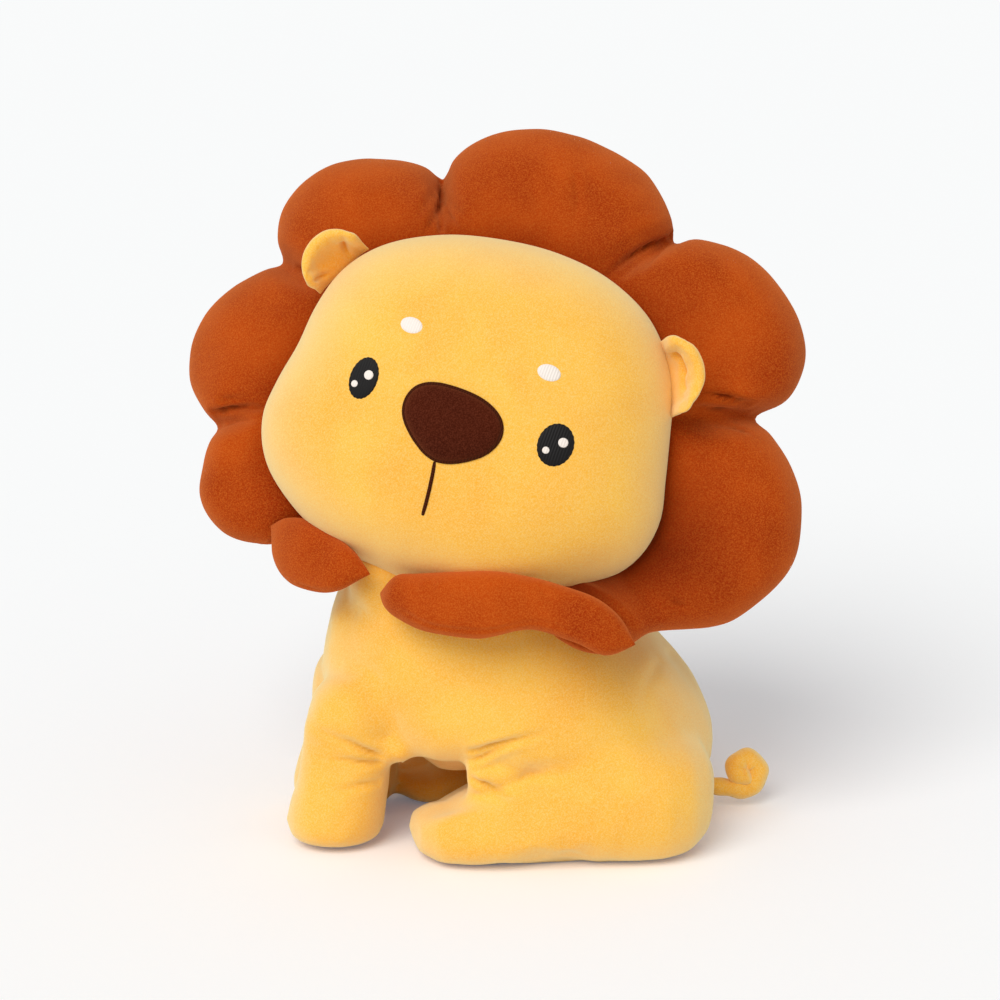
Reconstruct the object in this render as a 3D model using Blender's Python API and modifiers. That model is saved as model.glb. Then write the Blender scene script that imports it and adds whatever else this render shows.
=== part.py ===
"""A sitting plush lion: sewn velour covers over loose fibre filling, with a nine-lobed mane.

Lengths are in metres and +Z is up. The origin is the middle of the flat seat panel, on the ground.
The lion's body lies along X with its chest at -X, and its left side is at -Y. Its head is turned
over its left shoulder, and is modelled in a frame of its own: x to the head's right as one looks
at the face, y towards the back of the head, z towards the crown.
"""

from math import atan2, copysign, cos, hypot, pi, radians, sin, sqrt

import bmesh
import bpy
from mathutils import Matrix, Vector

# Covers, clearances and cuts
COVER = 0.002
GAP = 0.0003
FILLING_GAP = 0.0009
OVERRUN = 0.005
MERGE = 0.00001

# Body
TORSO_LENGTH = 0.219
TORSO_HEIGHT = 0.172
TORSO_HALF_WIDTH = 0.086
SEAT_HALF_LENGTH = 0.044
SEAT_HALF_WIDTH = 0.047
BEAN_BAG_HEIGHT = 0.026
EGG_SHARE = 0.16

# Front legs
FRONT_LEG_HEIGHT = 0.100
FRONT_LEG_HALF_LENGTH = 0.028
FRONT_LEG_HALF_WIDTH = 0.0255
FRONT_LEG_FORWARD = 0.653 * TORSO_LENGTH
FRONT_LEG_SPREAD = 0.0265
FRONT_LEG_STAGGER = 0.009

# Hind legs, each a haunch that runs forward into a foot
HIND_LEG_LENGTH = 0.172
HIND_LEG_HEIGHT = 0.078
HIND_LEG_HALF_WIDTH = 0.0465
HIND_LEG_SPREAD = 0.0496
HIND_LEG_ROUNDNESS = 0.84
HIND_TOE_FORWARD = 0.5023 * TORSO_LENGTH

# Head
HEAD_CENTRE = Vector((-0.0660, -0.0110, 0.2305))
HEAD_TURN = radians(-18.5)
HEAD_LOOK_UP = radians(16.9)
HEAD_TILT = radians(17.2)
HEAD_HALF_WIDTH = 0.114
FACE_DEPTH = 0.070
HEAD_BACK_DEPTH = 0.060
PLUMP = 2.25

# Neck
NECK_DROP = 0.086
NECK_BACK = 0.006
TILT_RANGE = radians(6.0)
SWEEP_STEPS = 5

# Mane
MANE_RADIUS = 0.170
MANE_HALF_THICKNESS = 0.021
MANE_BACK_DEPTH = 0.036
MANE_TUCK_DEPTH = 0.008

# Chin lobes, which hang in front of the body
CHIN_LOBE_HALF_HEIGHT = 0.0175
CHIN_LOBE_HALF_THICKNESS = 0.011
CHIN_LOBE_LIFT = radians(14.0)

# Ears
EAR_ANGLE = radians(62.0)
EAR_HEIGHT = 0.030
EAR_HALF_THICKNESS = 0.0045
EAR_CURL_RADIUS = 0.0180
EAR_CURL = radians(82.0)
EAR_LEAN = radians(48.0)
EAR_ROOT_BACK = 0.007
EAR_SEAT = 0.0
EAR_TIP_SHARE = 0.25
EAR_ROOT_CUP_SHARE = 0.2

# Tail
TAIL_RADIUS = 0.0050
TAIL_SIDE = 0.010
TAIL_HEIGHT = 0.0135
TAIL_LENGTH = 0.030
TAIL_TUCK = 0.0011

# Nose, eyes, brows and mouth
FEATURE_SHIFT = 0.0020
NOSE_HALF_WIDTH = 0.0232
NOSE_HALF_HEIGHT = 0.0195
NOSE_DROP = 0.0105
NOSE_PAD = 0.0040
NOSE_CORNER_SHARE = 0.11
NOSE_EDGE_RADIUS = 0.0010
EYE_SPREAD = 0.0525
EYE_SHIFT = 0.0032
EYE_DROP = 0.0030
EYE_HALF_WIDTH = 0.0089
EYE_HALF_HEIGHT = 0.0111
STITCH = 0.0010
GLINT_RADIUS = 0.0025
SMALL_GLINT_RADIUS = 0.0018
BROW_SPREAD = 0.0375
BROW_RISE = 0.0305
BROW_HALF_LENGTH = 0.0062
BROW_HALF_WIDTH = 0.0042
MOUTH_LENGTH = 0.0280
MOUTH_HALF_WIDTH = 0.0010

# Each row: share of the way from bottom to top, then shares of the torso's height, its length to
# the chest and to the rump, and its half width.
TORSO_SHARES = (
    (0.00, 0.000, 0.000, 0.000, 0.000),
    (0.11, 0.000, -0.205, 0.205, 0.570),
    (0.20, 0.055, -0.235, 0.268, 0.720),
    (0.31, 0.232, -0.310, 0.315, 0.920),
    (0.41, 0.318, -0.585, 0.314, 1.000),
    (0.52, 0.465, -0.680, 0.258, 0.970),
    (0.65, 0.650, -0.668, 0.135, 0.850),
    (0.77, 0.785, -0.634, 0.015, 0.745),
    (0.89, 0.920, -0.560, -0.110, 0.560),
    (1.00, 1.000, -0.340, -0.340, 0.000),
)

# Each row: share of the way up, then shares of the leg's height, of its radius, and of how far
# forward it stands.
FRONT_LEG_SHARES = (
    (0.00, 0.000, 0.000, 1.015),
    (0.14, 0.000, 0.700, 1.015),
    (0.24, 0.040, 0.940, 1.018),
    (0.36, 0.160, 1.020, 1.016),
    (0.50, 0.350, 0.950, 0.985),
    (0.64, 0.560, 0.910, 0.952),
    (0.78, 0.760, 1.000, 0.928),
    (0.90, 0.930, 0.780, 0.910),
    (1.00, 1.000, 0.000, 0.910),
)

# Each row: share of the way from toe to rump, then shares of the leg's length, of the height of
# its middle line, of its half height, and of its half width.
HIND_LEG_SHARES = (
    (0.00, 0.000, 0.240, 0.000, 0.000),
    (0.10, 0.035, 0.205, 0.215, 0.580),
    (0.20, 0.110, 0.190, 0.275, 0.820),
    (0.34, 0.270, 0.200, 0.290, 0.960),
    (0.48, 0.440, 0.280, 0.420, 1.020),
    (0.62, 0.620, 0.360, 0.550, 1.140),
    (0.78, 0.810, 0.350, 0.510, 1.130),
    (0.91, 0.940, 0.380, 0.360, 0.760),
    (1.00, 1.000, 0.380, 0.000, 0.000),
)

# Each row: degrees from the crown, to the right as one looks at the face, then the radius of the
# head's outline as a share of its half width.
HEAD_OUTLINE_SHARES = (
    (-180, 0.850), (-165, 0.865), (-150, 0.912), (-136, 0.962), (-122, 1.010), (-110, 1.000),
    (-100, 0.945), (-88, 0.895), (-75, 0.905), (-62, 0.922), (-50, 0.911), (-30, 0.859),
    (-10, 0.832), (10, 0.856), (30, 0.912), (45, 0.950), (62, 0.955), (78, 0.945),
    (90, 0.972), (101, 1.030), (112, 1.045), (124, 1.005), (140, 0.965), (154, 0.925),
    (168, 0.870), (180, 0.850),
)

# Each row: name, degrees from the crown where the lobe starts and ends, shares of how far back
# its root and its rim lie and of its thickness, then its rim's shares of the mane's radius at
# the places along the lobe that RIM_PLACES_SHARES names.
RIM_PLACES_SHARES = (0.00, 0.06, 0.25, 0.50, 0.75, 0.94, 1.00)
MANE_LOBES_SHARES = (
    ("mane_lobe_top", -29.5, 28.0, 0.28, 1.00, 1.00,
     (0.793, 0.852, 0.935, 0.961, 0.953, 0.872, 0.832)),
    ("mane_lobe_upper_right", 28.0, 70.5, 0.28, 1.00, 1.00,
     (0.832, 0.892, 0.989, 1.043, 1.050, 0.965, 0.876)),
    ("mane_lobe_right", 70.5, 121.5, 0.28, 0.60, 1.00,
     (0.876, 0.920, 1.034, 1.096, 1.033, 0.902, 0.872)),
    ("mane_lobe_lower_right", 118.0, 141.0, -0.70, -0.90, 0.42,
     (0.860, 0.870, 0.880, 0.870, 0.820, 0.740, 0.720)),
    ("mane_lobe_lower_left", -139.0, -111.0, 0.28, 0.50, 0.95,
     (0.796, 0.846, 0.908, 0.938, 0.908, 0.876, 0.866)),
    ("mane_lobe_left", -111.0, -71.5, 0.28, 1.00, 1.00,
     (0.866, 0.893, 0.972, 0.990, 0.940, 0.870, 0.850)),
    ("mane_lobe_upper_left", -71.5, -29.5, 0.28, 1.00, 1.00,
     (0.850, 0.895, 0.972, 0.980, 0.908, 0.835, 0.793)),
)

# Each row: share of the way along, then the middle line's x and z as shares of the head's half
# width, its y as a share of the face's depth, and shares of the half height and half thickness.
CHIN_RIGHT_SHARES = (
    (0.00, -0.087, -0.924, -0.450, 0.00, 0.00),
    (0.10, -0.002, -0.918, -0.520, 0.66, 0.75),
    (0.26, 0.209, -0.873, -0.620, 1.02, 1.00),
    (0.44, 0.430, -0.800, -0.660, 1.04, 1.00),
    (0.62, 0.646, -0.727, -0.680, 0.76, 0.85),
    (0.76, 0.846, -0.718, -0.700, 0.74, 0.80),
    (0.90, 1.002, -0.743, -0.700, 0.62, 0.70),
    (1.00, 1.112, -0.746, -0.700, 0.00, 0.00),
)
CHIN_LEFT_SHARES = (
    (0.00, -0.760, -0.790, -0.060, 0.00, 0.00),
    (0.14, -0.690, -0.850, -0.100, 0.84, 0.80),
    (0.36, -0.560, -0.900, -0.170, 1.08, 1.00),
    (0.60, -0.420, -0.915, -0.250, 0.98, 0.90),
    (0.82, -0.290, -0.900, -0.340, 0.66, 0.65),
    (1.00, -0.185, -0.868, -0.400, 0.00, 0.00),
)

# The tail's middle line, as shares of its length: to the rear, to the lion's right, and up.
TAIL_SHARES = (
    (0.00, 0.00, 0.00), (0.20, -0.02, -0.03), (0.44, -0.05, -0.07), (0.70, -0.08, -0.13),
    (0.94, -0.10, -0.12), (1.11, -0.10, 0.01), (1.16, -0.09, 0.20), (1.10, -0.05, 0.38),
    (0.94, 0.02, 0.46), (0.78, 0.09, 0.38), (0.74, 0.13, 0.22), (0.82, 0.18, 0.08),
)

# Colours, linear, and how rough each finish is
YELLOW_VELOUR = (0.98, 0.58, 0.11, 1.0)
RUST_VELOUR = (0.55, 0.085, 0.013, 1.0)
BROWN_VELOUR = (0.070, 0.012, 0.006, 1.0)
BLACK_THREAD = (0.012, 0.010, 0.010, 1.0)
WHITE_THREAD = (0.92, 0.86, 0.82, 1.0)
BROWN_THREAD = (0.100, 0.022, 0.008, 1.0)
FIBRE_FILL = (0.85, 0.85, 0.83, 1.0)
CANVAS = (0.78, 0.70, 0.55, 1.0)
CLOTH_ROUGHNESS = 0.9
THREAD_ROUGHNESS = 0.6

HEAD_FRAME = (
    Matrix.Translation(HEAD_CENTRE)
    @ Matrix.Rotation(HEAD_TURN, 4, "Z")
    @ Matrix.Rotation(-HEAD_LOOK_UP, 4, "X")
    @ Matrix.Rotation(HEAD_TILT, 4, "Y")
)
NECK_POINT = Vector((0, NECK_BACK, -NECK_DROP))


def empty_scene():
    for thing in list(bpy.data.objects):
        bpy.data.objects.remove(thing, do_unlink=True)


def new_collection(name):
    collection = bpy.data.collections.new(name)
    bpy.context.scene.collection.children.link(collection)
    return collection


def new_material(name, colour, roughness):
    material = bpy.data.materials.new(name)
    material.use_nodes = True
    shader = material.node_tree.nodes["Principled BSDF"]
    shader.inputs["Base Color"].default_value = colour
    shader.inputs["Roughness"].default_value = roughness
    shader.inputs["Metallic"].default_value = 0.0
    material.diffuse_color = colour
    return material


empty_scene()
LION = new_collection("plush_lion")
CUTTERS = new_collection("cutters")
YELLOW = new_material("yellow_velour", YELLOW_VELOUR, CLOTH_ROUGHNESS)
RUST = new_material("rust_velour", RUST_VELOUR, CLOTH_ROUGHNESS)
BROWN = new_material("brown_velour", BROWN_VELOUR, CLOTH_ROUGHNESS)
BLACK = new_material("black_thread", BLACK_THREAD, THREAD_ROUGHNESS)
WHITE = new_material("white_thread", WHITE_THREAD, THREAD_ROUGHNESS)
BROWN_EDGE = new_material("brown_thread", BROWN_THREAD, THREAD_ROUGHNESS)
FILLING = new_material("polyester_fibre", FIBRE_FILL, CLOTH_ROUGHNESS)
POUCH = new_material("bean_bag_canvas", CANVAS, CLOTH_ROUGHNESS)


def smooth_row(table, place):
    """The values of a table's columns at a place, on a smooth curve through its rows."""
    last = len(table) - 2
    index = 0
    while index < last and place > table[index + 1][0]:
        index += 1
    start = table[index]
    end = table[index + 1]
    before = table[max(index - 1, 0)]
    after = table[min(index + 2, len(table) - 1)]
    span = end[0] - start[0]
    step = min(max((place - start[0]) / span, 0.0), 1.0)
    values = []
    for column in range(1, len(start)):
        slope_in = (end[column] - before[column]) / (end[0] - before[0]) * span
        slope_out = (after[column] - start[column]) / (after[0] - start[0]) * span
        rise = 2 * step**3 - 3 * step**2 + 1
        values.append(
            rise * start[column]
            + (step**3 - 2 * step**2 + step) * slope_in
            + (1 - rise) * end[column]
            + (step**3 - step**2) * slope_out
        )
    return values


def shaped_ball(columns, rows, surface, inset=0.0, keep=None):
    """A ball with its poles at top and bottom, whose points a function moves to their places."""
    shell = bmesh.new()
    bmesh.ops.create_uvsphere(shell, u_segments=columns, v_segments=rows, radius=1)
    if keep:
        left_out = [vertex for vertex in shell.verts if not keep(vertex.co)]
        bmesh.ops.delete(shell, geom=left_out, context="VERTS")
    for vertex in shell.verts:
        vertex.co = surface(vertex.co.copy())
    bmesh.ops.recalc_face_normals(shell, faces=shell.faces)
    if not keep and shell.calc_volume(signed=True) < 0:
        bmesh.ops.reverse_faces(shell, faces=shell.faces)
    shell.normal_update()
    moves = [(vertex, vertex.normal * (inset * vertex.calc_shell_factor())) for vertex in shell.verts]
    for vertex, move in moves:
        vertex.co -= move
    mesh = bpy.data.meshes.new("form")
    shell.to_mesh(mesh)
    shell.free()
    mesh.shade_smooth()
    return mesh


def add_piece(name, mesh, material, frame=Matrix.Identity(4), origin=Vector((0, 0, 0)), parent=None):
    """A named piece whose own origin is a point of the frame that its mesh is made in."""
    mesh.name = name
    mesh.transform(Matrix.Translation(-origin))
    mesh.materials.append(material)
    piece = bpy.data.objects.new(name, mesh)
    LION.objects.link(piece)
    piece.matrix_world = frame @ Matrix.Translation(origin)
    if parent:
        attach(piece, parent)
    return piece


def attach(piece, parent):
    bpy.context.view_layer.update()
    piece.parent = parent
    piece.matrix_parent_inverse = parent.matrix_world.inverted()


def add_axis(name, frame, parent=None):
    """An empty at a joint, with the joint's axis along one of its own axes."""
    axis = bpy.data.objects.new(name, None)
    LION.objects.link(axis)
    axis.matrix_world = frame
    if parent:
        attach(axis, parent)
    bpy.context.view_layer.update()
    return axis


def add_cutter(name, mesh, frame=Matrix.Identity(4)):
    cutter = bpy.data.objects.new(name, mesh)
    CUTTERS.objects.link(cutter)
    cutter.matrix_world = frame
    cutter.hide_render = True
    cutter.display_type = "WIRE"
    return cutter


def hollow(piece):
    """Leave only the cover's thickness, inside the piece's outer surface."""
    wall = piece.modifiers.new("cover", "SOLIDIFY")
    wall.thickness = COVER
    wall.offset = -1


def cut(piece, cutters):
    for cutter in cutters:
        trim = piece.modifiers.new(cutter.name, "BOOLEAN")
        trim.operation = "DIFFERENCE"
        trim.object = cutter


def head_radius(angle):
    """How far the head's outline lies from its middle, at an angle from the crown."""
    (share,) = smooth_row(HEAD_OUTLINE_SHARES, angle * 180 / pi)
    return HEAD_HALF_WIDTH * share


def head_surface(unit):
    """The head's swelling: pole up is the face, pole down the back of the head."""
    spread = min(hypot(unit.x, unit.y), 1.0)
    angle = atan2(unit.x, unit.y)
    depth = FACE_DEPTH if unit.z > 0 else HEAD_BACK_DEPTH
    reach = head_radius(angle) * spread
    swell = max(1 - spread**PLUMP, 0.0) ** (1 / PLUMP)
    side = -1 if unit.z > 0 else 1
    return Vector((reach * sin(angle), side * depth * swell, reach * cos(angle)))


def face_point(x, z, lift):
    """A point above the face's surface, over x and z of the head's frame."""
    angle = atan2(x, z)
    spread = min(hypot(x, z) / head_radius(angle), 1.0)
    depth = FACE_DEPTH * (1 - spread**PLUMP) ** (1 / PLUMP)
    step = GAP
    ahead = []
    for dx, dz in ((step, 0), (0, step)):
        near = hypot(x + dx, z + dz) / head_radius(atan2(x + dx, z + dz))
        ahead.append((depth - FACE_DEPTH * (1 - near**PLUMP) ** (1 / PLUMP)) / step)
    normal = Vector((ahead[0], -1, ahead[1])).normalized()
    return Vector((x, -depth - GAP, z)) + normal * lift


def torso_surface(drop):
    """The torso, a pear that leans forward over the front legs, and stands on the seat panel."""
    floor = COVER + GAP

    def surface(unit):
        place = 1 - atan2(hypot(unit.x, unit.y), unit.z) / pi
        height, front, back, side = smooth_row(TORSO_SHARES, place)
        ring = max(hypot(unit.x, unit.y), MERGE)
        along = unit.x / ring
        across = unit.y / ring
        chest = TORSO_LENGTH * front
        rump = TORSO_LENGTH * back
        sink = drop * max(1 - height / TORSO_SHARES[2][1], 0.0)
        return Vector((
            (chest + rump) / 2 + (rump - chest) / 2 * along,
            TORSO_HALF_WIDTH * max(side, 0.0) * across * (1 + EGG_SHARE * along),
            floor + (TORSO_HEIGHT - floor) * max(height, 0.0) - sink,
        ))
    return surface


def turned_about(point, axis, angle):
    turn = Matrix.Translation(point) @ Matrix.Rotation(angle, 4, axis)
    return turn @ Matrix.Translation(-point)


def add_swept_cutter(name, point, axis, first, last):
    """All the room that the head fills as it turns about an axis, from the first angle to the last."""
    mesh = shaped_ball(32, 16, head_surface, -2 * GAP)
    swept = bmesh.new()
    for step in range(SWEEP_STEPS):
        turn = turned_about(point, axis, first + (last - first) * step / (SWEEP_STEPS - 1))
        for vertex in mesh.vertices:
            swept.verts.new(turn @ vertex.co)
    hull = bmesh.ops.convex_hull(swept, input=swept.verts)
    inner = [thing for thing in hull["geom_interior"] if isinstance(thing, bmesh.types.BMVert)]
    bmesh.ops.delete(swept, geom=inner, context="VERTS")
    swept_mesh = bpy.data.meshes.new("form")
    swept.to_mesh(swept_mesh)
    swept.free()
    return add_cutter(name, swept_mesh, HEAD_FRAME)


def make_torso(head_sweep):
    cover = add_piece("torso_cover", shaped_ball(32, 18, torso_surface(0.0)), YELLOW)
    hollow(cover)
    cut(cover, [head_sweep])
    inside = COVER + FILLING_GAP
    floor = COVER + GAP + inside
    filling_mesh = shaped_ball(32, 18, torso_surface(0.0), inside)
    filling = add_piece("torso_filling", filling_mesh, FILLING)
    pouch_room = add_cutter("bean_bag_room", bean_bag_mesh(GAP + GAP, floor))
    cut(filling, [head_sweep, pouch_room])
    add_piece("bean_bag", bean_bag_mesh(0, floor), POUCH)


def bean_bag_mesh(grow, floor):
    """A flat pouch of beans that lies in the seat."""
    top = COVER + COVER + GAP + BEAN_BAG_HEIGHT
    half_height = (top - floor) / 2 + grow

    def surface(unit):
        ring = max(hypot(unit.x, unit.y), MERGE)
        reach = ring ** (1 / PLUMP)
        return Vector((
            (SEAT_HALF_LENGTH - OVERRUN + grow) * reach * unit.x / ring,
            (SEAT_HALF_WIDTH - OVERRUN + grow) * reach * unit.y / ring,
            (top + floor) / 2 + half_height * unit.z,
        ))
    return shaped_ball(20, 8, surface)


def make_seat_panel():
    """The flat oval sewn under the body, which the lion sits on."""
    panel = bmesh.new()
    bmesh.ops.create_cone(panel, cap_ends=True, segments=36, radius1=1, radius2=1, depth=1)
    for vertex in panel.verts:
        vertex.co.x *= SEAT_HALF_LENGTH
        vertex.co.y *= SEAT_HALF_WIDTH
        vertex.co.z = COVER * (vertex.co.z + 0.5)
    mesh = bpy.data.meshes.new("form")
    panel.to_mesh(mesh)
    panel.free()
    add_piece("seat_panel", mesh, YELLOW)


def front_leg_surface(side):
    """A short upright leg, a little wider at its foot."""
    back = FRONT_LEG_STAGGER if side > 0 else 0

    def surface(unit):
        place = 1 - atan2(hypot(unit.x, unit.y), unit.z) / pi
        height, swell, forward = smooth_row(FRONT_LEG_SHARES, place)
        ring = max(hypot(unit.x, unit.y), MERGE)
        return Vector((
            back - FRONT_LEG_FORWARD * forward + FRONT_LEG_HALF_LENGTH * swell * unit.x / ring,
            side * FRONT_LEG_SPREAD + FRONT_LEG_HALF_WIDTH * swell * unit.y / ring,
            FRONT_LEG_HEIGHT * max(height, 0.0),
        ))
    return surface


def hind_leg_surface(side):
    """A haunch beside the rump that runs forward into a low foot, flat underneath."""
    def surface(unit):
        place = 1 - atan2(hypot(unit.x, unit.y), unit.z) / pi
        along, middle, tall, wide = smooth_row(HIND_LEG_SHARES, place)
        ring = max(hypot(unit.x, unit.y), MERGE)
        half_height = HIND_LEG_HEIGHT * max(tall, 0.0)
        half_width = HIND_LEG_HALF_WIDTH * max(wide, 0.0)
        outward = copysign(abs(unit.y / ring) ** HIND_LEG_ROUNDNESS, unit.y)
        upward = copysign(abs(unit.x / ring) ** HIND_LEG_ROUNDNESS, unit.x)
        return Vector((
            HIND_LEG_LENGTH * along - HIND_TOE_FORWARD,
            side * HIND_LEG_SPREAD + half_width * outward,
            max(HIND_LEG_HEIGHT * middle + half_height * upward, 0.0),
        ))
    return surface


def make_legs(torso_room):
    inside = COVER + FILLING_GAP
    for side, side_name in ((-1, "left"), (1, "right")):
        for leg, surface in (("front_leg", front_leg_surface), ("hind_leg", hind_leg_surface)):
            cover = add_piece(f"{side_name}_{leg}_cover", shaped_ball(20, 12, surface(side)), YELLOW)
            hollow(cover)
            cut(cover, [torso_room])
            filling_mesh = shaped_ball(20, 12, surface(side), inside)
            filling = add_piece(f"{side_name}_{leg}_filling", filling_mesh, FILLING)
            cut(filling, [torso_room])


def make_head(neck):
    face = shaped_ball(32, 16, head_surface, keep=lambda place: place.z > -MERGE)
    face.transform(Matrix.Translation((0, -GAP, 0)))
    back = shaped_ball(32, 16, head_surface, keep=lambda place: place.z < MERGE)
    back.transform(Matrix.Translation((0, GAP, 0)))
    hollow(add_piece("face_cover", face, YELLOW, HEAD_FRAME, parent=neck))
    hollow(add_piece("head_back_cover", back, RUST, HEAD_FRAME, parent=neck))
    inside = COVER + FILLING_GAP
    filling = shaped_ball(32, 16, head_surface, inside)
    add_piece("head_filling", filling, FILLING, HEAD_FRAME, parent=neck)


def square_from_disc(x, y):
    """A point of the unit disc, moved to the matching point of the unit square."""
    twice = 2 * sqrt(2)
    base = x * x - y * y
    across = sqrt(max(2 + base + twice * x, 0)) - sqrt(max(2 + base - twice * x, 0))
    upward = sqrt(max(2 - base + twice * y, 0)) - sqrt(max(2 - base - twice * y, 0))
    return across / 2, upward / 2


def lobe_surface(start, end, root_back, rim_back, thickness, rim_shares):
    """One stuffed lobe: thin at the face's seam and at its side seams, round at its rim."""
    half_gap = GAP / 2
    rows = list(zip(RIM_PLACES_SHARES, rim_shares))

    def surface(unit):
        across, outward = square_from_disc(unit.x, unit.y)
        step = (across + 1) / 2
        angle = radians(start + (end - start) * step)
        (rim_share,) = smooth_row(rows, step)
        rim = MANE_RADIUS * rim_share
        root = head_radius(angle) - MANE_TUCK_DEPTH
        grow = (outward + 1) / 2
        reach = root + (rim - root) * grow
        middle = MANE_BACK_DEPTH * (root_back + (rim_back - root_back) * grow)
        sideways = -across * half_gap
        return Vector((
            reach * sin(angle) + sideways * cos(angle),
            middle - MANE_HALF_THICKNESS * thickness * unit.z,
            reach * cos(angle) - sideways * sin(angle),
        ))
    return surface


def make_mane(neck, head_room):
    for name, *shares in MANE_LOBES_SHARES:
        mesh = shaped_ball(24, 8, lobe_surface(*shares))
        lobe = add_piece(name, mesh, RUST, HEAD_FRAME, parent=neck)
        cut(lobe, [head_room])


def chin_lobe_surface(table):
    """A lobe that lies along the chin, pointed at its ends, and hangs from its upper edge."""
    def surface(unit):
        place = 1 - atan2(hypot(unit.x, unit.y), unit.z) / pi
        across, up, depth, tall, thick = smooth_row(table, place)
        ring = max(hypot(unit.x, unit.y), MERGE)
        half_height = CHIN_LOBE_HALF_HEIGHT * max(tall, 0.0)
        half_thickness = CHIN_LOBE_HALF_THICKNESS * max(thick, 0.0)
        return Vector((
            HEAD_HALF_WIDTH * across,
            FACE_DEPTH * depth + half_thickness * unit.x / ring,
            HEAD_HALF_WIDTH * up + half_height * unit.y / ring,
        ))
    return surface


def chin_hinge(table, first, last):
    """The upper edge that a chin lobe is sewn along: its middle point and its direction."""
    ends = []
    for row in (table[first], table[last]):
        edge = HEAD_HALF_WIDTH * row[2] + CHIN_LOBE_HALF_HEIGHT * row[4]
        ends.append(Vector((HEAD_HALF_WIDTH * row[1], FACE_DEPTH * row[3], edge)))
    return (ends[0] + ends[1]) / 2, (ends[1] - ends[0]).normalized()


def make_chin_lobes(neck):
    for name, table, first, last in (
        ("chin_lobe_right", CHIN_RIGHT_SHARES, 2, 4),
        ("chin_lobe_left", CHIN_LEFT_SHARES, 1, 3),
    ):
        middle, direction = chin_hinge(table, first, last)
        lobe_room = add_swept_cutter(f"{name}_room", middle, direction, 0.0, CHIN_LOBE_LIFT)
        turn = Vector((1, 0, 0)).rotation_difference(direction).to_matrix().to_4x4()
        hinge_frame = HEAD_FRAME @ Matrix.Translation(middle) @ turn
        hinge = add_axis(f"{name}_hinge", hinge_frame, neck)
        mesh = shaped_ball(16, 14, chin_lobe_surface(table))
        lobe = add_piece(name, mesh, RUST, HEAD_FRAME, middle, hinge)
        cut(lobe, [lobe_room])


def ear_frame(side):
    """The ear's own frame at its sewn root: x along the seam, y to its back, z to its tip."""
    angle = side * EAR_ANGLE
    reach = head_radius(angle) + EAR_SEAT
    root = Vector((reach * sin(angle), -EAR_ROOT_BACK, reach * cos(angle)))
    turn = Matrix.Rotation(angle, 4, "Y") @ Matrix.Rotation(EAR_LEAN, 4, "X")
    return HEAD_FRAME @ Matrix.Translation(root) @ turn


def ear_surface(unit):
    """A small stuffed ear, flat at its sewn root and cupped towards the front above it."""
    across, upward = square_from_disc(unit.x, unit.y)
    curl = EAR_CURL * across
    grow = (upward + 1) / 2
    narrow = 1 - EAR_TIP_SHARE * grow**3
    cup = min(EAR_ROOT_CUP_SHARE + grow, 1.0)
    radius = EAR_CURL_RADIUS - EAR_HALF_THICKNESS * unit.z * cup
    flat = EAR_HALF_THICKNESS * unit.z * (1 - cup)
    return Vector((
        radius * sin(curl) * narrow,
        (radius * cos(curl) - EAR_CURL_RADIUS) * cup - flat,
        EAR_HEIGHT * grow,
    ))


def make_ears(neck):
    for side, name in ((-1, "left_ear"), (1, "right_ear")):
        frame = ear_frame(side)
        hinge = add_axis(f"{name}_hinge", frame, neck)
        add_piece(name, shaped_ball(20, 8, ear_surface), YELLOW, frame, parent=hinge)


def patch_surface(middle_x, middle_z, turn, outline, thickness, lift):
    """A raised patch on the face: flat against it behind, crowned in front."""
    def surface(unit):
        spread = hypot(unit.x, unit.y)
        reach = outline(atan2(unit.x, unit.y))
        x = reach[0] * spread
        z = reach[1] * spread
        across = x * cos(turn) + z * sin(turn)
        upward = z * cos(turn) - x * sin(turn)
        rise = lift + thickness * max(unit.z, 0.0)
        return face_point(middle_x + across, middle_z + upward, rise)
    return surface


def oval(half_width, half_height):
    return lambda angle: (half_width * sin(angle), half_height * cos(angle))


def nose_outline(grow):
    """A rounded triangle that points down."""
    def outline(angle):
        reach = 1 - NOSE_CORNER_SHARE * cos(3 * angle)
        return (
            (NOSE_HALF_WIDTH + grow) * reach * sin(angle),
            (NOSE_HALF_HEIGHT + grow) * reach * cos(angle),
        )
    return outline


def add_patch(name, columns, rows, surface, material, neck):
    add_piece(name, shaped_ball(columns, rows, surface), material, HEAD_FRAME, parent=neck)


def make_nose(neck):
    pad = patch_surface(FEATURE_SHIFT, -NOSE_DROP, 0, nose_outline(0), NOSE_PAD, GAP)
    add_patch("nose_pad", 28, 8, pad, BROWN, neck)
    curve = bpy.data.curves.new("nose_edge", "CURVE")
    curve.dimensions = "3D"
    curve.bevel_depth = NOSE_EDGE_RADIUS
    curve.bevel_resolution = 1
    points = 36
    spline = curve.splines.new("POLY")
    spline.points.add(points - 1)
    spline.use_cyclic_u = True
    outline = nose_outline(NOSE_EDGE_RADIUS + GAP + GAP)
    for index, point in enumerate(spline.points):
        x, z = outline(2 * pi * index / points)
        place = face_point(FEATURE_SHIFT + x, z - NOSE_DROP, NOSE_EDGE_RADIUS + GAP)
        point.co = (*place, 1)
    guide = bpy.data.objects.new("nose_edge_path", curve)
    CUTTERS.objects.link(guide)
    bpy.context.view_layer.update()
    mesh = bpy.data.meshes.new_from_object(guide.evaluated_get(bpy.context.evaluated_depsgraph_get()))
    mesh.materials.clear()
    bpy.data.objects.remove(guide)
    add_piece("nose_edge", mesh, BROWN_EDGE, HEAD_FRAME, parent=neck)


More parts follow.
